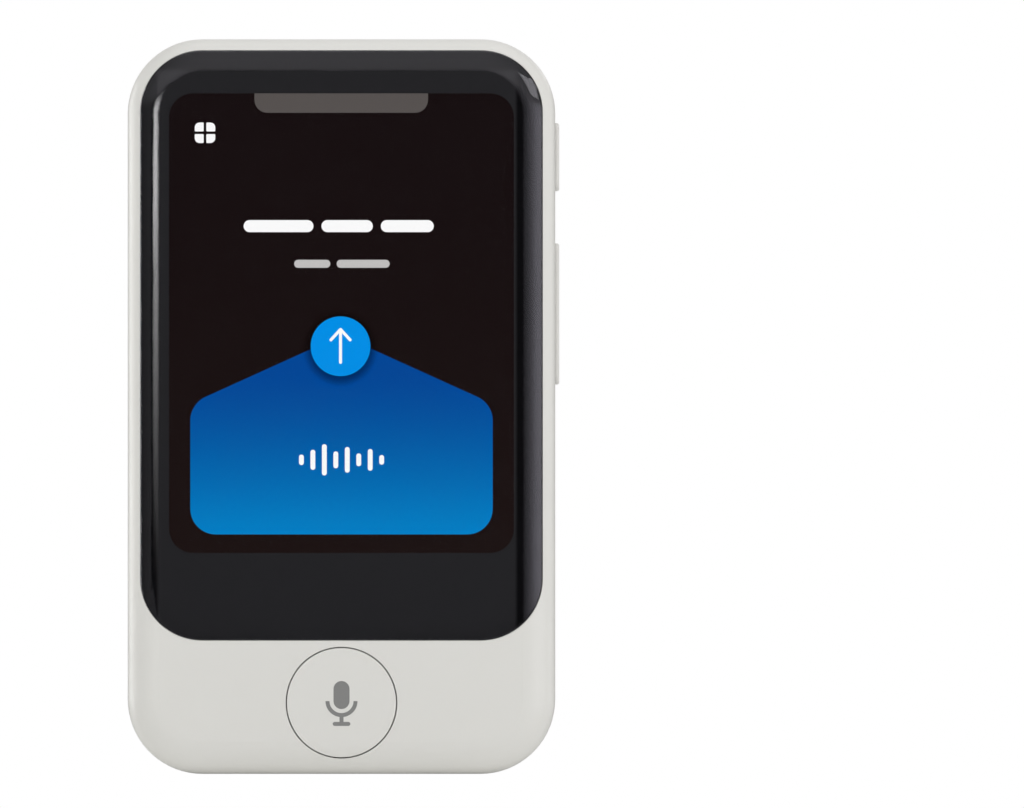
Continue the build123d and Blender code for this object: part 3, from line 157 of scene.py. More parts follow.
def new_finish(name):
    """A material and its shader, which each piece's section then fills in."""
    finish = bpy.data.materials.new(name)
    finish.use_nodes = True
    return finish, finish.node_tree, finish.node_tree.nodes["Principled BSDF"]


def raise_skin(tree, shader, height, strength, distance, edge=0):
    """Bump on the shader's normal, over edges softened to a radius."""
    bump = tree.nodes.new("ShaderNodeBump")
    bump.inputs["Strength"].default_value = strength
    bump.inputs["Distance"].default_value = distance
    tree.links.new(height, bump.inputs["Height"])
    if edge:
        softened = add_group(tree, SOFTENED_EDGES, Radius=edge)
        tree.links.new(softened.outputs["Normal"], bump.inputs["Normal"])
    tree.links.new(bump.outputs["Normal"], shader.inputs["Normal"])


def plastic(
    name, color, gloss, drift=0.03, grain=5500.0, depth=0.25, edge=0.09 * MM, sheen=0.45
):
    """Moulded plastic with the shared skin and softened edges."""
    finish, tree, shader = new_finish(name)
    skin = add_group(tree, MOULDED_SKIN, Color=color, Drift=drift, Gloss=gloss, Grain=grain)
    tree.links.new(skin.outputs["Color"], shader.inputs["Base Color"])
    tree.links.new(skin.outputs["Roughness"], shader.inputs["Roughness"])
    shader.inputs["Specular IOR Level"].default_value = sheen
    raise_skin(tree, shader, skin.outputs["Height"], depth, 0.02 * MM, edge)
    return finish


def dress(finish, *names):
    """Gives CAD nodes a finish in every one of their material slots."""
    for name in names:
        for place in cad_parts[name].material_slots:
            place.material = finish


SHELL_GREY = srgb(217, 216, 212)
dress(plastic("rear_shell_abs", SHELL_GREY, 0.34), "rear_cover")

# --- Camera -----------------------------------------------------------------------------------
# A small camera block behind a round cover glass, which is printed black on its inside except for
# a clear centre. Under it are the matt barrel with its stepped baffle, and a coated lens.

CAMERA_Z = 77.9 * MM
WINDOW_FRONT = 5.72 * MM  # outer face of the cover glass, 0.03 mm under the cover's back
WINDOW_R = 3.38 * MM
WINDOW_T = 0.6 * MM
CHAMFER = 0.08 * MM
CLEAR_R = 1.75 * MM  # the part of the window that isn't printed
INK_T = 0.015 * MM
INK_SET = 0.05 * MM  # from the window's rim to the print
LENS_FRONT = 4.48 * MM
BARREL_BACK = 4.87 * MM
SHARP = math.radians(35)  # an edge that turns further than this stays sharp
WELD = 1e-7


def made(name, form):
    """Finishes a bmesh as an object at the origin, shaded smooth but for its sharp edges."""
    mesh = bpy.data.meshes.new(name)
    for face in form.faces:
        face.smooth = True
    for edge in form.edges:
        edge.smooth = edge.calc_face_angle(0) < SHARP
    form.to_mesh(mesh)
    form.free()
    piece = bpy.data.objects.new(name, mesh)
    bpy.context.scene.collection.objects.link(piece)
    return piece


def turned(name, profile, segments, place):
    """Ring or disc spun from a profile of (radius, depth), with its axis along Y. Depth runs
    from the place towards the front of the device."""
    form = bmesh.new()
    rim = [form.verts.new((r, -depth, 0)) for r, depth in profile]
    for first, second in zip(rim, rim[1:]):
        form.edges.new((first, second))
    bmesh.ops.spin(
        form, geom=form.verts[:] + form.edges[:], cent=(0, 0, 0), axis=(0, 1, 0),
        angle=math.tau, steps=segments, use_merge=True,
    )
    bmesh.ops.remove_doubles(form, verts=form.verts, dist=WELD)
    bmesh.ops.holes_fill(form, edges=[e for e in form.edges if e.is_boundary])
    bmesh.ops.recalc_face_normals(form, faces=form.faces)
    bmesh.ops.translate(form, verts=form.verts, vec=place)
    return made(name, form)


def cover_glass_finish(name, tint=(1, 1, 1, 1), gloss=0.02):
    """Clear polished glass. Lamps shine through it, so what is printed behind it is lit."""
    finish, tree, shader = new_finish(name)
    shader.inputs["Base Color"].default_value = tint
    shader.inputs["Transmission Weight"].default_value = 1.0
    shader.inputs["IOR"].default_value = 1.5
    shader.inputs["Roughness"].default_value = gloss
    clear = tree.nodes.new("ShaderNodeBsdfTransparent")
    clear.inputs["Color"].default_value = tint
    path = tree.nodes.new("ShaderNodeLightPath")
    either = tree.nodes.new("ShaderNodeMixShader")
    tree.links.new(path.outputs["Is Shadow Ray"], either.inputs["Fac"])
    tree.links.new(shader.outputs[0], either.inputs[1])
    tree.links.new(clear.outputs[0], either.inputs[2])
    tree.links.new(either.outputs[0], tree.nodes["Material Output"].inputs["Surface"])
    return finish


window = turned(
    "camera_window_glass",
    [
        (0, 0), (WINDOW_R - CHAMFER, 0), (WINDOW_R, CHAMFER),
        (WINDOW_R, WINDOW_T - CHAMFER), (WINDOW_R - CHAMFER, WINDOW_T), (0, WINDOW_T),
    ],
    96, (0, WINDOW_FRONT, CAMERA_Z),
)
window.data.materials.append(cover_glass_finish("camera_window_clear"))
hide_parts("camera_window")
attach(window, "body")

window_print = turned(
    "camera_window_print",
    [
        (CLEAR_R, -INK_T), (WINDOW_R - INK_SET, -INK_T),
        (WINDOW_R - INK_SET, 0), (CLEAR_R, 0), (CLEAR_R, -INK_T),
    ],
    96, (0, WINDOW_FRONT - WINDOW_T + 0.02 * MM, CAMERA_Z),
)
window_print.data.materials.append(
    plastic("window_ink", (0.034, 0.034, 0.035, 1), 0.5, drift=0.1, depth=0.0, edge=0, sheen=0)
)
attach(window_print, "body")

lens = turned(
    "camera_front_lens",
    [
        (0, 0), (0.2 * MM, 0.02 * MM), (0.38 * MM, 0.08 * MM), (0.54 * MM, 0.17 * MM),
        (0.68 * MM, 0.3 * MM), (0.78 * MM, 0.46 * MM), (1.08 * MM, 0.5 * MM),
        (1.08 * MM, 0.56 * MM), (0, 0.56 * MM),
    ],
    64, (0, LENS_FRONT, CAMERA_Z),
)


def blended(tree, share, first, second):
    """Colour that goes from the first to the second as the share goes from 0 to 1. Each of the
    two is a colour or a socket."""
    mix = tree.nodes.new("ShaderNodeMix")
    mix.data_type = "RGBA"
    tree.links.new(share, mix.inputs["Factor"])
    for label, value in (("A", first), ("B", second)):
        if isinstance(value, tuple):
            mix.inputs[label].default_value = value
        else:
            tree.links.new(value, mix.inputs[label])
    return mix.outputs["Result"]


# A thin violet coating takes away the lens's own reflection. Its colour is painted from a dark
# violet where the lens faces the view to a bright violet towards its rim: a painted reflection on
# top of the coating's own violet.
coated, coated_tree, coated_shader = new_finish("coated_lens")
coated_shader.inputs["Roughness"].default_value = 0.06
coated_shader.inputs["Metallic"].default_value = 0.4
coated_shader.inputs["Specular IOR Level"].default_value = 1.0
coated_shader.inputs["Specular Tint"].default_value = (0.42, 0.32, 1.0, 1)
facing = coated_tree.nodes.new("ShaderNodeLayerWeight")
facing.inputs["Blend"].default_value = 0.3
# Painted reflection: the colour turns a bright violet towards the lens's rim.
coating_and_painted_reflection = blended(
    coated_tree, facing.outputs["Facing"], srgb(22, 20, 52), srgb(110, 84, 245)
)
coated_tree.links.new(coating_and_painted_reflection, coated_shader.inputs["Base Color"])
lens.data.materials.append(coated)
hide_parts("camera_lens")
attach(lens, "body")

# The baffle's steps keep stray light off the lens; it is pressed into the barrel's mouth.
STEP_H = 0.07 * MM
baffle_steps = [(1.68 * MM, 0)]
for ring in range(5):
    radius = (1.58 - 0.15 * ring) * MM
    baffle_steps += [(radius, 0.02 * MM + STEP_H * ring), (radius, STEP_H * (ring + 1))]
baffle_steps += [
    (0.82 * MM, 0.37 * MM), (0.82 * MM, 0.42 * MM), (1.7 * MM, 0.42 * MM), (1.7 * MM, 0),
    (1.68 * MM, 0),
]
baffle = turned("camera_baffle", baffle_steps, 64, (0, BARREL_BACK + 0.01 * MM, CAMERA_Z))
black_matt = plastic(
    "camera_black", srgb(38, 38, 39), 0.5, drift=0.1, depth=0.1, edge=0.04 * MM, sheen=0.25
)
baffle.data.materials.append(black_matt)
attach(baffle, "body")
dress(black_matt, "camera_module")
dress(
    plastic("camera_foam", srgb(22, 22, 22), 0.9, grain=9000.0, depth=0.8, edge=0),
    "camera_gasket", "camera_tape",
)

# --- Flash ------------------------------------------------------------------------------------
# A clear polycarbonate lens with a bright rim and fine ring grooves, over a bright reflector cone
# and a square lamp with yellow phosphor. It clips into the cover from the inside.

FLASH_Z = 70.75 * MM
FLASH_R = 1.57 * MM
FLANGE_R = 2.08 * MM
CONE_MOUTH = 5.18 * MM
groove_profile = [(0, 0.02 * MM), (0.14 * MM, 0.05 * MM), (0.2 * MM, 0.12 * MM)]
for ring in range(6):
    inner = (0.22 + 0.19 * ring) * MM
    groove_profile += [(inner, 0.13 * MM), (inner + 0.17 * MM, 0.09 * MM)]
groove_profile += [
    (1.38 * MM, 0.1 * MM), (1.42 * MM, 0.02 * MM), (1.5 * MM, 0), (FLASH_R, 0.05 * MM),
    (FLASH_R, 1.1 * MM), (FLANGE_R, 1.13 * MM), (FLANGE_R, 1.5 * MM), (1.48 * MM, 1.5 * MM),
    (1.46 * MM, 0.5 * MM), (0, 0.4 * MM),
]
flash = turned("flash_optic", groove_profile, 72, (0, WINDOW_FRONT, FLASH_Z))
flash.data.materials.append(cover_glass_finish("flash_clear", srgb(252, 250, 240), 0.04))
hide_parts("flash_lens")
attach(flash, "body")

# The reflector is a shallow pressed cone with twelve flats, and the lamp shines through its eye.
reflector = turned(
    "flash_reflector",
    [
        (1.44 * MM, 0), (0.12 * MM, 0.58 * MM), (0.1 * MM, 2.55 * MM), (0.22 * MM, 2.55 * MM),
        (0.25 * MM, 0.7 * MM), (1.44 * MM, 0.12 * MM), (1.44 * MM, 0),
    ],
    12, (0, CONE_MOUTH, FLASH_Z),
)
for flat in reflector.data.polygons:
    flat.use_smooth = False
mirror, mirror_tree, mirror_shader = new_finish("flash_reflector_metal")
dull = mottling(mirror_tree, own_place(mirror_tree), 2500)
dull = step_math(mirror_tree, "MULTIPLY_ADD", dull, 0.1, 0.14)
mirror_tree.links.new(dull, mirror_shader.inputs["Roughness"])
mirror_shader.inputs["Base Color"].default_value = srgb(226, 226, 216)
mirror_shader.inputs["Metallic"].default_value = 1.0
reflector.data.materials.append(mirror)
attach(reflector, "body")
dress(
    plastic("lamp_phosphor", srgb(225, 210, 120), 0.8, drift=0.15, grain=12000.0, edge=0),
    "flash_led",
)

# --- Speakers, microphones and aerials --------------------------------------------------------
# Two sealed sound boxes in black glass-filled nylon stand along the battery. Each driver fires
# through a woven steel mesh that is glued behind the five holes in the side of the shells.


def worked_metal_group():
    """Machined or rolled metal: fine streaks along one axis, a slow tone drift and a light bump."""
    group, take, give = new_group(
        "worked_metal",
        [
            ("Color", "Color", (0.7, 0.7, 0.7, 1)),
            ("Gloss", "Float", 0.3),
            ("Streak", "Vector", (200.0, 6000.0, 6000.0)),
            ("Drift", "Float", 0.08),
        ],
        [("Color", "Color"), ("Roughness", "Float"), ("Height", "Float")],
    )
    where = own_place(group)
    stretch = group.nodes.new("ShaderNodeVectorMath")
    stretch.operation = "MULTIPLY"
    group.links.new(where, stretch.inputs[0])
    group.links.new(take.outputs["Streak"], stretch.inputs[1])
    streaks = mottling(group, stretch.outputs[0], 1, 3)
    shade = about(group, mottling(group, where, 220, 3), take.outputs["Drift"], 1.0)
    group.links.new(shaded(group, take.outputs["Color"], shade), give.inputs["Color"])
    gloss = about(group, streaks, 0.3, take.outputs["Gloss"])
    group.links.new(gloss, give.inputs["Roughness"])
    group.links.new(streaks, give.inputs["Height"])
    return group


WORKED_METAL = worked_metal_group()


def metal(name, color, gloss, streak=(200, 6000, 6000), drift=0.08):
    """Metal with the shared streaks and a small edge radius."""
    finish, tree, shader = new_finish(name)
    worked = add_group(tree, WORKED_METAL, Color=color, Gloss=gloss, Streak=streak, Drift=drift)
    tree.links.new(worked.outputs["Color"], shader.inputs["Base Color"])
    tree.links.new(worked.outputs["Roughness"], shader.inputs["Roughness"])
    shader.inputs["Metallic"].default_value = 1.0
    raise_skin(tree, shader, worked.outputs["Height"], 0.2, 0.01 * MM, 0.03 * MM)
    return finish


def along_axes(tree):
    """Place on the piece, split into its X, Y and Z."""
    parts = tree.nodes.new("ShaderNodeSeparateXYZ")
    tree.links.new(own_place(tree), parts.inputs[0])
    return parts.outputs


def wave(tree, distance, pitch):
    """Sine wave from -1 to 1 that comes round once in each pitch."""
    return step_math(tree, "SINE", step_math(tree, "MULTIPLY", distance, math.tau / pitch))


def wire_weave(name, pitch, color):
    """Plain weave of round steel wires that run along Y and Z, with painted shade where the wires
    dip under each other.
    """
    finish, tree, shader = new_finish(name)
    place = along_axes(tree)
    warp = wave(tree, place["Y"], pitch)
    weft = wave(tree, place["Z"], pitch)
    over = step_math(tree, "GREATER_THAN", step_math(tree, "MULTIPLY", warp, weft), 0.0)
    under = step_math(tree, "SUBTRACT", 1.0, over)
    height = step_math(tree, "MULTIPLY", step_math(tree, "ABSOLUTE", warp), over)
    weft_height = step_math(tree, "ABSOLUTE", weft)
    height = step_math(tree, "MULTIPLY_ADD", weft_height, under, height)
    # Painted shade: the wires' colour falls to a quarter where the weave is low, between and under
    # them.
    shade = step_math(tree, "MULTIPLY_ADD", height, 0.75, 0.25)
    tree.links.new(shaded(tree, color, shade), shader.inputs["Base Color"])
    raise_skin(tree, shader, height, 0.7, pitch * 0.2)
    shader.inputs["Roughness"].default_value = 0.4
    shader.inputs["Metallic"].default_value = 0.8
    return finish


dress(
    plastic("sound_box_nylon", srgb(30, 31, 32), 0.5, drift=0.12, grain=9000.0, depth=0.5),
    "speaker_box_left", "speaker_box_right",
)
dress(
    metal("driver_frame", srgb(120, 118, 114), 0.35, streak=(4000, 4000, 400)),
    "speaker_driver_left", "speaker_driver_right",
)
dress(
    wire_weave("speaker_mesh_weave", 0.16 * MM, srgb(92, 92, 94)),
    "speaker_mesh_left", "speaker_mesh_right",
)
dress(metal("microphone_can", srgb(216, 196, 150), 0.25), "microphones")
dress(plastic("boot_rubber", srgb(28, 28, 28), 0.75, drift=0.1, depth=0.4), "mic_boots")
dress(
    plastic("aerial_film", srgb(46, 44, 42), 0.5, drift=0.2, grain=7000.0),
    "aerial_cellular", "aerial_wifi",
)
GOLD = srgb(236, 196, 112)
dress(metal("gold_spring", GOLD, 0.2, streak=(3000, 3000, 600)), "aerial_springs")

# --- Boards, chips and cans -------------------------------------------------------------------
# Six-layer boards with a dark blue-green solder mask over copper tracks. The chips are moulded in
# black epoxy, and pressed tinned-steel cans are soldered over the processor and the radio.


def masked_board(name, pitch):
    """Solder mask that shows the copper tracks under it as lighter, slightly raised lines."""
    finish, tree, shader = new_finish(name)
    where = own_place(tree)
    tracks = tree.nodes.new("ShaderNodeTexBrick")
    tracks.offset = 0.37
    tracks.squash = 0.6
    tracks.inputs["Scale"].default_value = 1 / pitch
    tracks.inputs["Mortar Size"].default_value = 0.06
    tracks.inputs["Mortar Smooth"].default_value = 0.3
    tracks.inputs["Color1"].default_value = srgb(16, 52, 58)
    tracks.inputs["Color2"].default_value = srgb(14, 44, 50)
    tracks.inputs["Mortar"].default_value = srgb(34, 88, 84)
    turn = tree.nodes.new("ShaderNodeMapping")
    turn.inputs["Rotation"].default_value = (math.pi / 2, 0, 0)
    tree.links.new(where, turn.inputs["Vector"])
    tree.links.new(turn.outputs["Vector"], tracks.inputs["Vector"])
    tree.links.new(tracks.outputs["Color"], shader.inputs["Base Color"])
    raise_skin(tree, shader, tracks.outputs["Fac"], 0.4, 0.03 * MM)
    gloss = step_math(tree, "MULTIPLY_ADD", mottling(tree, where, 900), 0.2, 0.2)
    tree.links.new(gloss, shader.inputs["Roughness"])
    return finish


dress(masked_board("board_mask", 1.1 * MM), "main_board", "sub_board", "key_board")
dress(
    plastic(
        "chip_epoxy", srgb(34, 34, 36), 0.55, drift=0.12, grain=14000.0, depth=0.5,
        edge=0.02 * MM,
    ),
    "processor_chip", "memory_chip", "radio_chip",
)
dress(
    metal("tinned_can", srgb(206, 206, 204), 0.28, streak=(6000, 6000, 300), drift=0.1),
    "shield_processor", "shield_radio",
)

# --- Flat cables ------------------------------------------------------------------------------
# Copper tracks between two films of amber polyimide, etched in one piece and folded to shape.
# They join the boards, the keys and the display, and lie flat on what is behind them.


def flat_cable(name, axis, pitch):
    """Amber film with copper tracks that run along the cable and show through as lighter bands."""
    finish, tree, shader = new_finish(name)
    track = wave(tree, along_axes(tree)[axis], pitch)
    track = step_math(tree, "MULTIPLY_ADD", track, 2.5, 0.5)
    track = step_math(tree, "MINIMUM", track, 1.0)
    track = step_math(tree, "MAXIMUM", track, 0.0)
    film = blended(tree, track, srgb(120, 62, 22), srgb(176, 104, 44))
    tree.links.new(film, shader.inputs["Base Color"])
    raise_skin(tree, shader, track, 0.5, 0.02 * MM)
    gloss = step_math(tree, "MULTIPLY_ADD", track, -0.1, 0.35)
    tree.links.new(gloss, shader.inputs["Roughness"])
    return finish


dress(
    flat_cable("flat_cable_upright", "X", 0.4 * MM), "link_flex", "display_flex", "key_board_flex"
)
dress(flat_cable("flat_cable_side", "Y", 0.36 * MM), "side_key_flex")

# --- USB-C port -------------------------------------------------------------------------------
# A deep-drawn stainless shell round a black tongue with gold-plated contacts on both faces,
# soldered to the lower board and open at the bottom end.

dress(metal("port_steel", srgb(196, 195, 192), 0.22, streak=(300, 6000, 6000)), "usb_shell")
dress(plastic("port_tongue_lcp", srgb(24, 24, 25), 0.45, drift=0.1, depth=0.3), "usb_tongue")
dress(metal("port_contact_gold", GOLD, 0.18, streak=(6000, 6000, 300)), "usb_contacts")

# --- Battery ----------------------------------------------------------------------------------
# A pouch cell in aluminium laminate with a fine pressed texture. It is stuck to the plate with
# two-sided tape and plugs into the board with a short lead.

pouch, pouch_tree, pouch_shader = new_finish("pouch_laminate")
pouch_place = own_place(pouch_tree)
wrinkles = mottling(pouch_tree, pouch_place, 150, 5)
dimples = pouch_tree.nodes.new("ShaderNodeTexVoronoi")
dimples.inputs["Scale"].default_value = 1600
pouch_tree.links.new(pouch_place, dimples.inputs["Vector"])
pressed = step_math(pouch_tree, "MULTIPLY_ADD", dimples.outputs["Distance"], 0.25, wrinkles)
raise_skin(pouch_tree, pouch_shader, pressed, 0.5, 0.1 * MM)
pouch_gloss = step_math(pouch_tree, "MULTIPLY_ADD", wrinkles, 0.2, 0.25)
pouch_tree.links.new(pouch_gloss, pouch_shader.inputs["Roughness"])
pouch_shader.inputs["Base Color"].default_value = srgb(198, 198, 200)
pouch_shader.inputs["Metallic"].default_value = 1.0
dress(pouch, "battery")
dress(
    plastic("battery_tape_white", srgb(224, 222, 214), 0.6, drift=0.08, grain=3000.0, depth=0.5),
    "battery_tape",
)
dress(plastic("battery_plug_nylon", srgb(232, 226, 208), 0.45, drift=0.06), "battery_connector")
dress(
    plastic("battery_lead_pvc", srgb(150, 24, 20), 0.4, drift=0.08, grain=2500.0, depth=0.4),
    "battery_lead",
)

# --- SIM tray ---------------------------------------------------------------------------------
# The tray is moulded in the cover's grey so that its face closes the side flush. It slides in a
# pressed steel socket, and a pin through the small hole in the face pushes the eject rod.

dress(plastic("tray_abs", SHELL_GREY, 0.42, edge=0.06 * MM), "sim_tray")
dress(
    metal("socket_steel", srgb(190, 190, 188), 0.3, streak=(6000, 300, 6000)),
    "sim_socket", "sim_eject_rod",
)

# --- Chassis and screws -----------------------------------------------------------------------
# A pressed aluminium plate with a blasted finish stiffens the front. It and the boards are held
# with small black-zinc steel screws, whose heads have a light turned texture.

blasted = plastic("chassis_blasted", srgb(168, 170, 172), 0.45, drift=0.06, grain=7000.0, depth=0.6)
blasted.node_tree.nodes["Principled BSDF"].inputs["Metallic"].default_value = 1.0
dress(blasted, "chassis_plate")
dress(
    metal("screw_black_zinc", srgb(92, 92, 96), 0.3, streak=(2500, 2500, 2500), drift=0.15),
    "chassis_screws", "board_screws",
)

# --- Display ----------------------------------------------------------------------------------
# The backlight in its pressed frame carries the liquid-crystal panel, and a clear touch film is
# laminated on that. The stack lies between the chassis plate and the cover glass.

dress(metal("backlight_frame", srgb(210, 210, 210), 0.3, streak=(6000, 6000, 200)), "lcd_backlight")
dress(
    plastic("panel_glass_black", srgb(16, 15, 16), 0.12, drift=0.1, depth=0.02, edge=0),
    "lcd_panel",
)

FILM_FRONT = -4.73 * MM
FILM_T = 0.2 * MM


def outlined(form, outline, front, corner_steps):
    """Adds a flat face that faces the front, from its corners (x, z, length cut off each side of
    the corner before it is rounded), in millimetres."""
    corners = [form.verts.new((x * MM, front, z * MM)) for x, z, cut in outline]
    form.faces.new(corners)
    for corner, (x, z, cut) in zip(corners, outline):
        if cut:
            bmesh.ops.bevel(
                form, geom=[corner], offset=cut * MM, offset_type="OFFSET", affect="VERTICES",
                segments=corner_steps, profile=0.5, material=-1,
            )


def thickened(form, thick):
    """Gives a flat form its thickness, away from the front."""
    pulled = bmesh.ops.extrude_face_region(form, geom=form.faces[:])["geom"]
    moved = [v for v in pulled if isinstance(v, bmesh.types.BMVert)]
    bmesh.ops.translate(form, verts=moved, vec=(0, thick, 0))
    bmesh.ops.recalc_face_normals(form, faces=form.faces)


def plate(name, outline, front, thick, corner_steps=10):
    """Flat plate from its outline."""
    form = bmesh.new()
    outlined(form, outline, front, corner_steps)
    thickened(form, thick)
    return made(name, form)


def rectangle(left, bottom, right, top, cut):
    """Corners of a rounded rectangle, for an outline."""
    return [(left, bottom, cut), (right, bottom, cut), (right, top, cut), (left, top, cut)]


film = plate("touch_film", rectangle(-22.75, 24.2, 22.75, 86.3, 0.8), FILM_FRONT, FILM_T)
film_finish, film_tree, film_shader = new_finish("touch_film_clear")
film_shader.inputs["Base Color"].default_value = srgb(200, 205, 210)
film_shader.inputs["Roughness"].default_value = 0.1
film_shader.inputs["Specular IOR Level"].default_value = 0.05
film_marks = mottling(film_tree, own_place(film_tree), 300)
film_alpha = step_math(film_tree, "MULTIPLY", film_marks, 0.001)
film_tree.links.new(film_alpha, film_shader.inputs["Alpha"])
film.data.materials.append(film_finish)
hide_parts("touch_panel")
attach(film, "body")

# --- Lit picture ------------------------------------------------------------------------------
# What the display shows: a plain menu mark, two lines of greeked text, a blue speaking panel with
# a raised roof, and a round button with an arrow. Each patch lies on the panel's face.

SCREEN_Y = -4.505 * MM
LAYER_STEP = 0.006 * MM
PATCH_T = 0.004 * MM
DOT_PITCH = 0.09 * MM
DOT_DEPTH = 0.02
LIT_HALF = 21.5
LIT_BOTTOM = 27.55
LIT_TOP = 84.85
LIT_CORNER = 3.0


def glow(name, low, high, bottom, top, strength=1.0):
    """Light from the display, graded from one colour at its bottom to another at its top, with
    the fine grid of the picture elements."""
    finish, tree, shader = new_finish(name)
    place = along_axes(tree)
    descent = tree.nodes.new("ShaderNodeMapRange")
    descent.inputs["From Min"].default_value = top * MM
    descent.inputs["From Max"].default_value = bottom * MM
    tree.links.new(place["Z"], descent.inputs["Value"])
    shade = blended(tree, step_math(tree, "POWER", descent.outputs["Result"], 1.6), high, low)
    grid = step_math(
        tree, "MULTIPLY", wave(tree, place["Z"], DOT_PITCH), wave(tree, place["X"], DOT_PITCH)
    )
    grid = step_math(tree, "MULTIPLY_ADD", grid, DOT_DEPTH, 1.0)
    tree.links.new(shaded(tree, shade, grid), shader.inputs["Emission Color"])
    shader.inputs["Emission Strength"].default_value = strength
    shader.inputs["Base Color"].default_value = (0.0008, 0.0008, 0.0008, 1)
    shader.inputs["Roughness"].default_value = 0.6
    shader.inputs["Specular IOR Level"].default_value = 0.0
    return finish


def patch(name, outline, layer, finish, corner_steps=10):
    """Patch of the picture: layer 0 lies on the panel and each next one just in front of it."""
    piece = plate(name, outline, SCREEN_Y - LAYER_STEP * layer, PATCH_T, corner_steps)
    piece.data.materials.append(finish)
    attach(piece, "body")


patch(
    "picture_ground", rectangle(-LIT_HALF, LIT_BOTTOM, LIT_HALF, LIT_TOP, LIT_CORNER), 0,
    glow("picture_dark", srgb(29, 19, 18), srgb(22, 13, 14), LIT_BOTTOM, LIT_TOP, 0.9),
)
TAB_BOTTOM = 82.43
patch(
    "picture_status_tab",
    [
        (-10.85, TAB_BOTTOM, 1.62), (10.79, TAB_BOTTOM, 1.62),
        (10.79, LIT_TOP, 0), (-10.85, LIT_TOP, 0),
    ],
    1, glow("picture_tab", srgb(88, 83, 81), srgb(88, 83, 81), 82, 85),
)
PAPER_WHITE = glow("picture_white", srgb(250, 250, 250), srgb(250, 250, 250), 20, 90, 1.05)
MENU_X = -17.02
MENU_Z = 79.94
MENU_HALF = 1.28
MENU_GAP = 0.165
for side, across in (("left", -1), ("right", 1)):
    for level, up in (("low", -1), ("high", 1)):
        ends_x = (MENU_X + across * MENU_GAP, MENU_X + across * MENU_HALF)
        ends_z = (MENU_Z + up * MENU_GAP, MENU_Z + up * MENU_HALF)
        quarter = [
            (ends_x[0], ends_z[0], 0.12), (ends_x[1], ends_z[0], 0.12),
            (ends_x[1], ends_z[1], 0.62), (ends_x[0], ends_z[1], 0.12),
        ]
        patch(f"picture_menu_{level}_{side}", quarter, 1, PAPER_WHITE)
for number, (left, length) in enumerate([(-12.2, 8.7), (-2.5, 6.4), (4.9, 6.6)]):
    word = rectangle(left, 67.55, left + length, 69.05, 0.74)
    patch(f"picture_heading_{number + 1}", word, 1, PAPER_WHITE)
SOFT_WHITE = glow("picture_pale", srgb(196, 194, 193), srgb(196, 194, 193), 20, 90)
for number, (left, length) in enumerate([(-5.9, 4.5), (-0.6, 6.6)]):
    word = rectangle(left, 63.1, left + length, 64.1, 0.49)
    patch(f"picture_line_{number + 1}", word, 1, SOFT_WHITE)

PANEL_HALF = 18.85
PANEL_BOTTOM = 29.86
SHOULDER_Z = 46.15
ROOF_SLOPE = 0.453
panel_outline = [
    (-PANEL_HALF, PANEL_BOTTOM, 3.18), (PANEL_HALF, PANEL_BOTTOM, 3.18),
    (PANEL_HALF, SHOULDER_Z, 1.95),
    (0, SHOULDER_Z + PANEL_HALF * ROOF_SLOPE, 2.0), (-PANEL_HALF, SHOULDER_Z, 1.95),
]
patch(
    "picture_panel", panel_outline, 1,
    glow("picture_blue", srgb(0, 131, 202), srgb(0, 71, 153), 29.5, 50.5),
)
VOICE_Z = 39.16
for number, height in enumerate((1.3, 2.5, 3.9, 2.1, 3.2, 1.6, 2.7, 1.2)):
    middle = -5.0 + 1.43 * number
    bar = rectangle(
        middle - 0.3, VOICE_Z - height / 2, middle + 0.3, VOICE_Z + height / 2, 0.29
    )
    patch(f"picture_voice_{number + 1}", bar, 2, PAPER_WHITE)


def round_patch(name, x, z, radius, layer, finish):
    """Round patch of the picture."""
    form = bmesh.new()
    bmesh.ops.create_circle(form, cap_ends=True, radius=radius * MM, segments=96)
    upright = Matrix.Rotation(math.pi / 2, 3, "X")
    bmesh.ops.rotate(form, verts=form.verts, cent=(0, 0, 0), matrix=upright)
    front = SCREEN_Y - LAYER_STEP * layer
    bmesh.ops.translate(form, verts=form.verts, vec=(x * MM, front, z * MM))
    thickened(form, PATCH_T)
    piece = made(name, form)
    piece.data.materials.append(finish)
    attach(piece, "body")


def eased(tree, value, start, end):
    """Smooth step from 0 at the start to 1 at the end, which may also be below the start."""
    step = tree.nodes.new("ShaderNodeMapRange")
    step.interpolation_type = "SMOOTHSTEP"
    step.inputs["From Min"].default_value = start
    step.inputs["From Max"].default_value = end
    tree.links.new(value, step.inputs["Value"])
    return step.outputs["Result"]


BUTTON_X = -0.12
BUTTON_Z = 53.32
HALO_Z = BUTTON_Z - 0.35  # the button's shadow hangs a little below it
halo, halo_tree, halo_shader = new_finish("picture_halo")
halo_reach = halo_tree.nodes.new("ShaderNodeVectorMath")
halo_reach.operation = "DISTANCE"
halo_reach.inputs[1].default_value = (BUTTON_X * MM, SCREEN_Y - 2 * LAYER_STEP, HALO_Z * MM)
halo_tree.links.new(own_place(halo_tree), halo_reach.inputs[0])
halo_depth = eased(halo_tree, halo_reach.outputs["Value"], 4.9 * MM, 3.5 * MM)
halo_depth = step_math(halo_tree, "MULTIPLY", halo_depth, 0.35)
halo_tree.links.new(halo_depth, halo_shader.inputs["Alpha"])
halo_shader.inputs["Base Color"].default_value = (0, 0, 0, 1)
halo_shader.inputs["Specular IOR Level"].default_value = 0.0
round_patch("picture_button_shadow", BUTTON_X, HALO_Z, 5.0, 2, halo)
round_patch(
    "picture_button", BUTTON_X, BUTTON_Z, 3.72, 3,
    glow("picture_button_blue", srgb(0, 145, 234), srgb(0, 145, 234), 49, 58),
)
STROKE = 0.185  # half the width of the arrow's strokes
patch(
    "picture_arrow_stem",
    rectangle(BUTTON_X - STROKE, 51.13, BUTTON_X + STROKE, 55.3, 0.18), 4, PAPER_WHITE, 6,
)
tip = Vector((BUTTON_X, 55.42))
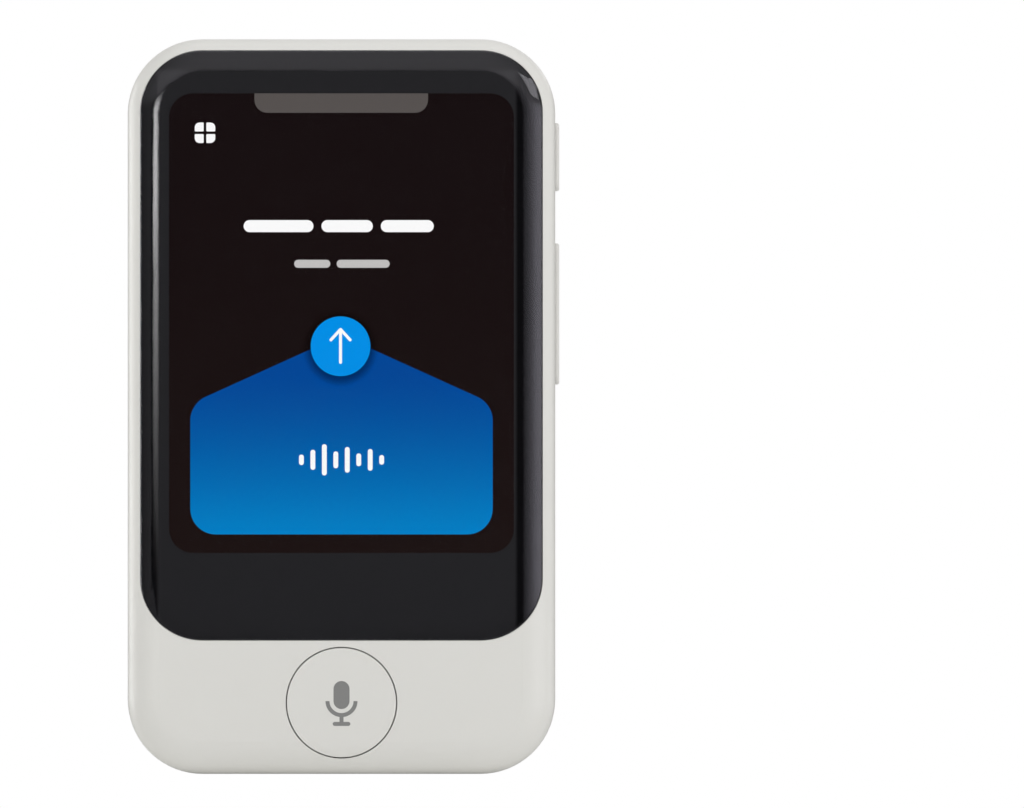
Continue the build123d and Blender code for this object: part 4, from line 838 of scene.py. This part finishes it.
for side_name, side, layer in (("left", -1, 6), ("right", 1, 5)):
    foot = Vector((BUTTON_X + side * 1.25, 54.06))
    run = (tip - foot).normalized()
    across = Vector((-run.y, run.x)) * STROKE * side
    start = foot - run * 0.1
    end = tip + run * 0.12
    outline = [
        (*(start + across), 0.17), (*(start - across), 0.17),
        (*(end - across), 0.1), (*(end + across), 0.1),
    ]
    patch(f"picture_arrow_{side_name}", outline, layer, PAPER_WHITE, 4)

# --- Cover glass ------------------------------------------------------------------------------
# Toughened glass, ground round at its sides and top and printed black behind its border. It is
# held in the front frame with a die-cut black adhesive.

dress(
    plastic("glass_adhesive_black", srgb(18, 18, 18), 0.7, drift=0.1, depth=0.5, edge=0),
    "glass_tape",
)
front_glass = cover_glass_finish("cover_glass_clear", (0.985, 0.985, 0.99, 1))
front_tree = front_glass.node_tree
front_shader = front_tree.nodes["Principled BSDF"]
front_shader.inputs["Specular Tint"].default_value = (0.95, 0.93, 1.0, 1)
ground = add_group(front_tree, SOFTENED_EDGES, Radius=0.4 * MM)
front_tree.links.new(ground.outputs["Normal"], front_shader.inputs["Normal"])
# The glass is bonded to what lies behind it, so light turns only at its front.
bond = front_tree.nodes.new("ShaderNodeNewGeometry").outputs["Backfacing"]
passing = front_tree.nodes["Mix Shader"].inputs["Fac"]
lit_through = passing.links[0].from_socket
front_tree.links.new(step_math(front_tree, "MAXIMUM", lit_through, bond), passing)
dress(front_glass, "cover_glass")

GLASS_BACK = -4.75 * MM
BORDER_SET = 0.008 * MM  # from the glass's back to the front of its print
BORDER_T = 0.006 * MM


# The print is a flat ring: its own outline, bridged to the outline of the lit picture.
border_form = bmesh.new()
for outline in (
    rectangle(-25.02, 16.7, 25.02, 90.14, 7.65),
    rectangle(-LIT_HALF, LIT_BOTTOM, LIT_HALF, LIT_TOP, LIT_CORNER),
):
    outlined(border_form, outline, GLASS_BACK - BORDER_SET, 24)
bmesh.ops.delete(border_form, geom=border_form.faces[:], context="FACES_ONLY")
bmesh.ops.bridge_loops(border_form, edges=border_form.edges[:])
thickened(border_form, BORDER_T)
border = made("glass_border_print", border_form)
ink, ink_tree, ink_shader = new_finish("glass_ink")
ink_place = along_axes(ink_tree)
# The ink is painted darker beyond these lines at both sides and the top, under the ground edge:
# painted shade for the darker reflection there. It starts further in on the right.
PAINTED_SHADE_LEFT = -22.7 * MM
PAINTED_SHADE_RIGHT = 21.6 * MM
PAINTED_SHADE_TOP = 87.5 * MM
PAINTED_SHADE_FADE = 0.4 * MM
from_right = step_math(ink_tree, "SUBTRACT", ink_place["X"], PAINTED_SHADE_RIGHT)
from_left = step_math(ink_tree, "SUBTRACT", PAINTED_SHADE_LEFT, ink_place["X"])
from_top = step_math(ink_tree, "SUBTRACT", ink_place["Z"], PAINTED_SHADE_TOP)
ink_painted_shade = step_math(ink_tree, "MAXIMUM", from_right, from_left)
ink_painted_shade = step_math(ink_tree, "MAXIMUM", ink_painted_shade, from_top)
ink_painted_shade = step_math(ink_tree, "DIVIDE", ink_painted_shade, PAINTED_SHADE_FADE)
ink_painted_shade = step_math(ink_tree, "MINIMUM", step_math(ink_tree, "MAXIMUM", ink_painted_shade, 0.0), 1.0)
# Painted shade: the black is deeper beyond the lines above.
ink_with_painted_shade = blended(
    ink_tree, ink_painted_shade, (0.0182, 0.0180, 0.0200, 1), (0.0032, 0.0032, 0.0037, 1)
)
ink_tree.links.new(ink_with_painted_shade, ink_shader.inputs["Base Color"])
ink_shader.inputs["Roughness"].default_value = 0.6
ink_shader.inputs["Specular IOR Level"].default_value = 0.0
border.data.materials.append(ink)
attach(border, "body")

# --- Talk key ---------------------------------------------------------------------------------
# A round cap in the shell's grey with a clear-grey light window moulded through it in the shape
# of a microphone. A stem on its back presses a metal dome on the key board; two lamps light it.

dress(plastic("talk_cap_abs", SHELL_GREY, 0.4, edge=0.06 * MM), "talk_key_cap")
dress(
    plastic("talk_window_grey", srgb(128, 128, 127), 0.3, drift=0.05, depth=0.1, edge=0.04 * MM),
    "talk_key_lens",
)
dress(metal("switch_dome", srgb(200, 200, 198), 0.25), "talk_switch", "side_key_switches")
dress(plastic("stem_acetal", srgb(236, 234, 228), 0.4, drift=0.04), "talk_switch_stem")
dress(plastic("lamp_body_white", srgb(240, 238, 226), 0.5, drift=0.06, depth=0.3), "talk_key_leds")

# --- Front frame ------------------------------------------------------------------------------
# The second shell moulding: the rim round the glass and the chin under it, in the same grey ABS.
# Its lip goes into the rear cover and leaves a fine shadow line all round.

dress(plastic("front_shell_abs", SHELL_GREY, 0.34), "front_frame")

# --- Side keys --------------------------------------------------------------------------------
# The power key and the volume rocker are moulded in the shell's grey, and stand on a pressed
# bracket with a flat cable and metal domes behind them.

dress(plastic("side_key_abs", SHELL_GREY, 0.36, edge=0.08 * MM), "power_key", "volume_key")
dress(
    metal("bracket_steel", srgb(186, 186, 184), 0.3, streak=(6000, 6000, 300)), "side_key_bracket"
)

# --- Studio -----------------------------------------------------------------------------------
# The object stands on a pale floor in a room of soft walls under a bright ceiling. A strip box on
# the left and three small soft boxes are close to it, and the camera looks straight at its front.

FLOOR_HALF = 3.0
floor_form = bmesh.new()
bmesh.ops.create_grid(floor_form, x_segments=8, y_segments=8, size=FLOOR_HALF)
floor = made("studio_floor", floor_form)
floor.visible_glossy = False  # keeps the pale floor out of the dark glass
floor_finish, floor_tree, floor_shader = new_finish("studio_floor_paint")
patchy = mottling(floor_tree, own_place(floor_tree), 3)
floor_shade = blended(floor_tree, patchy, srgb(229, 229, 227), srgb(233, 233, 231))
floor_tree.links.new(floor_shade, floor_shader.inputs["Base Color"])
floor_shader.inputs["Roughness"].default_value = 0.7
floor_tree.links.new(floor_shade, floor_shader.inputs["Emission Color"])
floor_shader.inputs["Emission Strength"].default_value = 0.25
floor.data.materials.append(floor_finish)


def lamp_panel(name, width, height, turn, place):
    """Flat panel, turned and then moved to its place, that the camera doesn't see."""
    form = bmesh.new()
    bmesh.ops.create_grid(form, x_segments=1, y_segments=1, size=0.5)
    bmesh.ops.scale(form, verts=form.verts, vec=(width, height, 1))
    bmesh.ops.rotate(form, verts=form.verts, cent=(0, 0, 0), matrix=turn)
    bmesh.ops.translate(form, verts=form.verts, vec=place)
    panel = made(name, form)
    panel.visible_camera = False
    return panel


def lamp_face(tree, shader, strength, color=(1, 1, 1, 1)):
    """Light from the front of a panel only; its strength is a number or a socket."""
    behind = tree.nodes.new("ShaderNodeNewGeometry").outputs["Backfacing"]
    before = step_math(tree, "SUBTRACT", 1.0, behind)
    light = tree.nodes.new("ShaderNodeEmission")
    light.inputs["Color"].default_value = color
    tree.links.new(step_math(tree, "MULTIPLY", before, strength), light.inputs["Strength"])
    tree.links.new(light.outputs[0], tree.nodes["Material Output"].inputs["Surface"])
    tree.nodes.remove(shader)


# The strip box hangs at the left. Its face grows brighter from its foot up, and fades out again
# along its top and both its ends. Each fade runs from where the face is dark.
STRIP_Z = 0.082
STRIP_HIGH = 0.116
STRIP_FOOT = STRIP_Z - STRIP_HIGH / 2
STRIP_CLIMB = 0.048
TOP_FADE = (0.138, 0.1)
END_FADES = ((-0.08, -0.135), (-0.24, -0.18))
STRIP_STRENGTH = 11.5
strip = lamp_panel(
    "studio_strip_box", 0.23, STRIP_HIGH, Matrix.Rotation(-math.pi / 2, 3, "X"),
    (-0.165, -0.6, STRIP_Z),
)
strip_finish, strip_tree, strip_shader = new_finish("studio_strip_face")
strip_place = along_axes(strip_tree)
climb = step_math(strip_tree, "SUBTRACT", strip_place["Z"], STRIP_FOOT)
climb = step_math(strip_tree, "DIVIDE", climb, STRIP_CLIMB)
climb = step_math(strip_tree, "MINIMUM", climb, 1.0)
face = step_math(strip_tree, "POWER", climb, 2.0)
top_fade = strip_tree.nodes.new("ShaderNodeMapRange")
top_fade.inputs["From Min"].default_value = TOP_FADE[0]
top_fade.inputs["From Max"].default_value = TOP_FADE[1]
strip_tree.links.new(strip_place["Z"], top_fade.inputs["Value"])
face = step_math(strip_tree, "MULTIPLY", face, top_fade.outputs["Result"])
for dark, bright in END_FADES:
    end_fade = eased(strip_tree, strip_place["X"], dark, bright)
    face = step_math(strip_tree, "MULTIPLY", face, end_fade)
face = step_math(strip_tree, "MULTIPLY", face, STRIP_STRENGTH)
lamp_face(strip_tree, strip_shader, face, (0.99, 1.0, 0.94, 1))
strip.data.materials.append(strip_finish)


OBJECT_MIDDLE = Vector((0, 0, 0.045))


def soft_box(name, place, width, height, strength):
    """Evenly lit panel that faces the middle of the object."""
    aim = OBJECT_MIDDLE - Vector(place)
    box = lamp_panel(name, width, height, aim.to_track_quat("Z", "Y").to_matrix(), place)
    lit, tree, shader = new_finish(name + "_face")
    lamp_face(tree, shader, strength)
    box.data.materials.append(lit)


soft_box("studio_edge_box", (-0.33, 0.17, 0.11), 0.1, 0.22, 4.6)
soft_box("studio_fill_box", (0.16, -0.17, 0.16), 0.09, 0.07, 4.0)
soft_box("studio_rear_box", (0.22, 0.24, 0.2), 0.11, 0.09, 1.7)

# The room is a ring of soft walls. Each stop is a bearing in degrees, from the front towards the
# right side, and the brightness of the wall there. The front right is faintly violet.
EYE_WALL = [
    (-180, 0.05), (-150, 0.05), (-125, 0.3), (-100, 5.2), (-75, 0.1), (-52, 0.25), (-28, 0.4),
    (-4, 0.42), (-2, 0.015), (2, 0.015), (7, 0.42), (13, 0.72), (24, 1.35), (36, 2.15), (49, 2.8),
    (75, 0.4), (100, 2.2), (125, 0.1), (150, 0.05), (180, 0.05),
]
HIGH_WALL = [
    (-180, 0.95), (-135, 0.1), (-90, 0.45), (-45, 0.66), (0, 1.0), (45, 0.75), (90, 0.5),
    (135, 0.35), (180, 0.95),
]
CEILING = 1.5
UNDER = 0.3  # below the horizon, which only a gloss sees past the floor
VIOLET = (1.0, 0.98, 1.04)
world = bpy.data.worlds.new("studio_room")
bpy.context.scene.world = world
world.use_nodes = True
room_tree = world.node_tree
room = room_tree.nodes["Background"]
sight_parts = room_tree.nodes.new("ShaderNodeSeparateXYZ")
room_tree.links.new(
    room_tree.nodes.new("ShaderNodeTexCoord").outputs["Generated"], sight_parts.inputs[0]
)
ahead = step_math(room_tree, "MULTIPLY", sight_parts.outputs["Y"], -1.0)
bearing = step_math(room_tree, "ARCTAN2", sight_parts.outputs["X"], ahead)
bearing = step_math(room_tree, "MULTIPLY_ADD", bearing, 1 / math.tau, 0.5)
rise = step_math(room_tree, "ARCSINE", sight_parts.outputs["Z"])


def wall(stops, tinted=False):
    """Colour ramp round the room, from (bearing, brightness)."""
    ramp = room_tree.nodes.new("ShaderNodeValToRGB")
    for number in range(1, len(stops) - 1):
        ramp.color_ramp.elements.new(number / len(stops))
    for element, (angle, bright) in zip(ramp.color_ramp.elements, stops):
        element.position = angle / 360 + 0.5
        tint = VIOLET if tinted and -5 < angle < 50 else (1, 1, 1)
        element.color = (bright * tint[0], bright * tint[1], bright * tint[2], 1)
    room_tree.links.new(bearing, ramp.inputs["Fac"])
    return ramp.outputs["Color"]


def above(low, high):
    """Share of what lies higher in the room, from 0 to 1 between two heights in degrees."""
    return eased(room_tree, rise, math.radians(low), math.radians(high))


walls = blended(room_tree, above(3, 11), wall(EYE_WALL, tinted=True), wall(HIGH_WALL))
walls = blended(room_tree, above(-12, -4), (UNDER, UNDER, UNDER, 1), walls)
around = blended(room_tree, above(50, 70), walls, (CEILING, CEILING, CEILING, 1))
seen = room_tree.nodes.new("ShaderNodeLightPath").outputs["Is Camera Ray"]
room_tree.links.new(blended(room_tree, seen, around, (1.0, 1.0, 1.0, 1)), room.inputs["Color"])

VIEW_WIDTH = 127.68 * MM
straight = bpy.data.cameras.new("straight_view")
straight.type = "ORTHO"
straight.ortho_scale = VIEW_WIDTH
camera = bpy.data.objects.new("straight_view", straight)
camera.location = (21.26 * MM, -0.6, 46.12 * MM)
camera.rotation_euler = (math.pi / 2, 0, 0)
bpy.context.scene.collection.objects.link(camera)
bpy.context.scene.camera = camera
bpy.context.scene.view_settings.view_transform = "Standard"
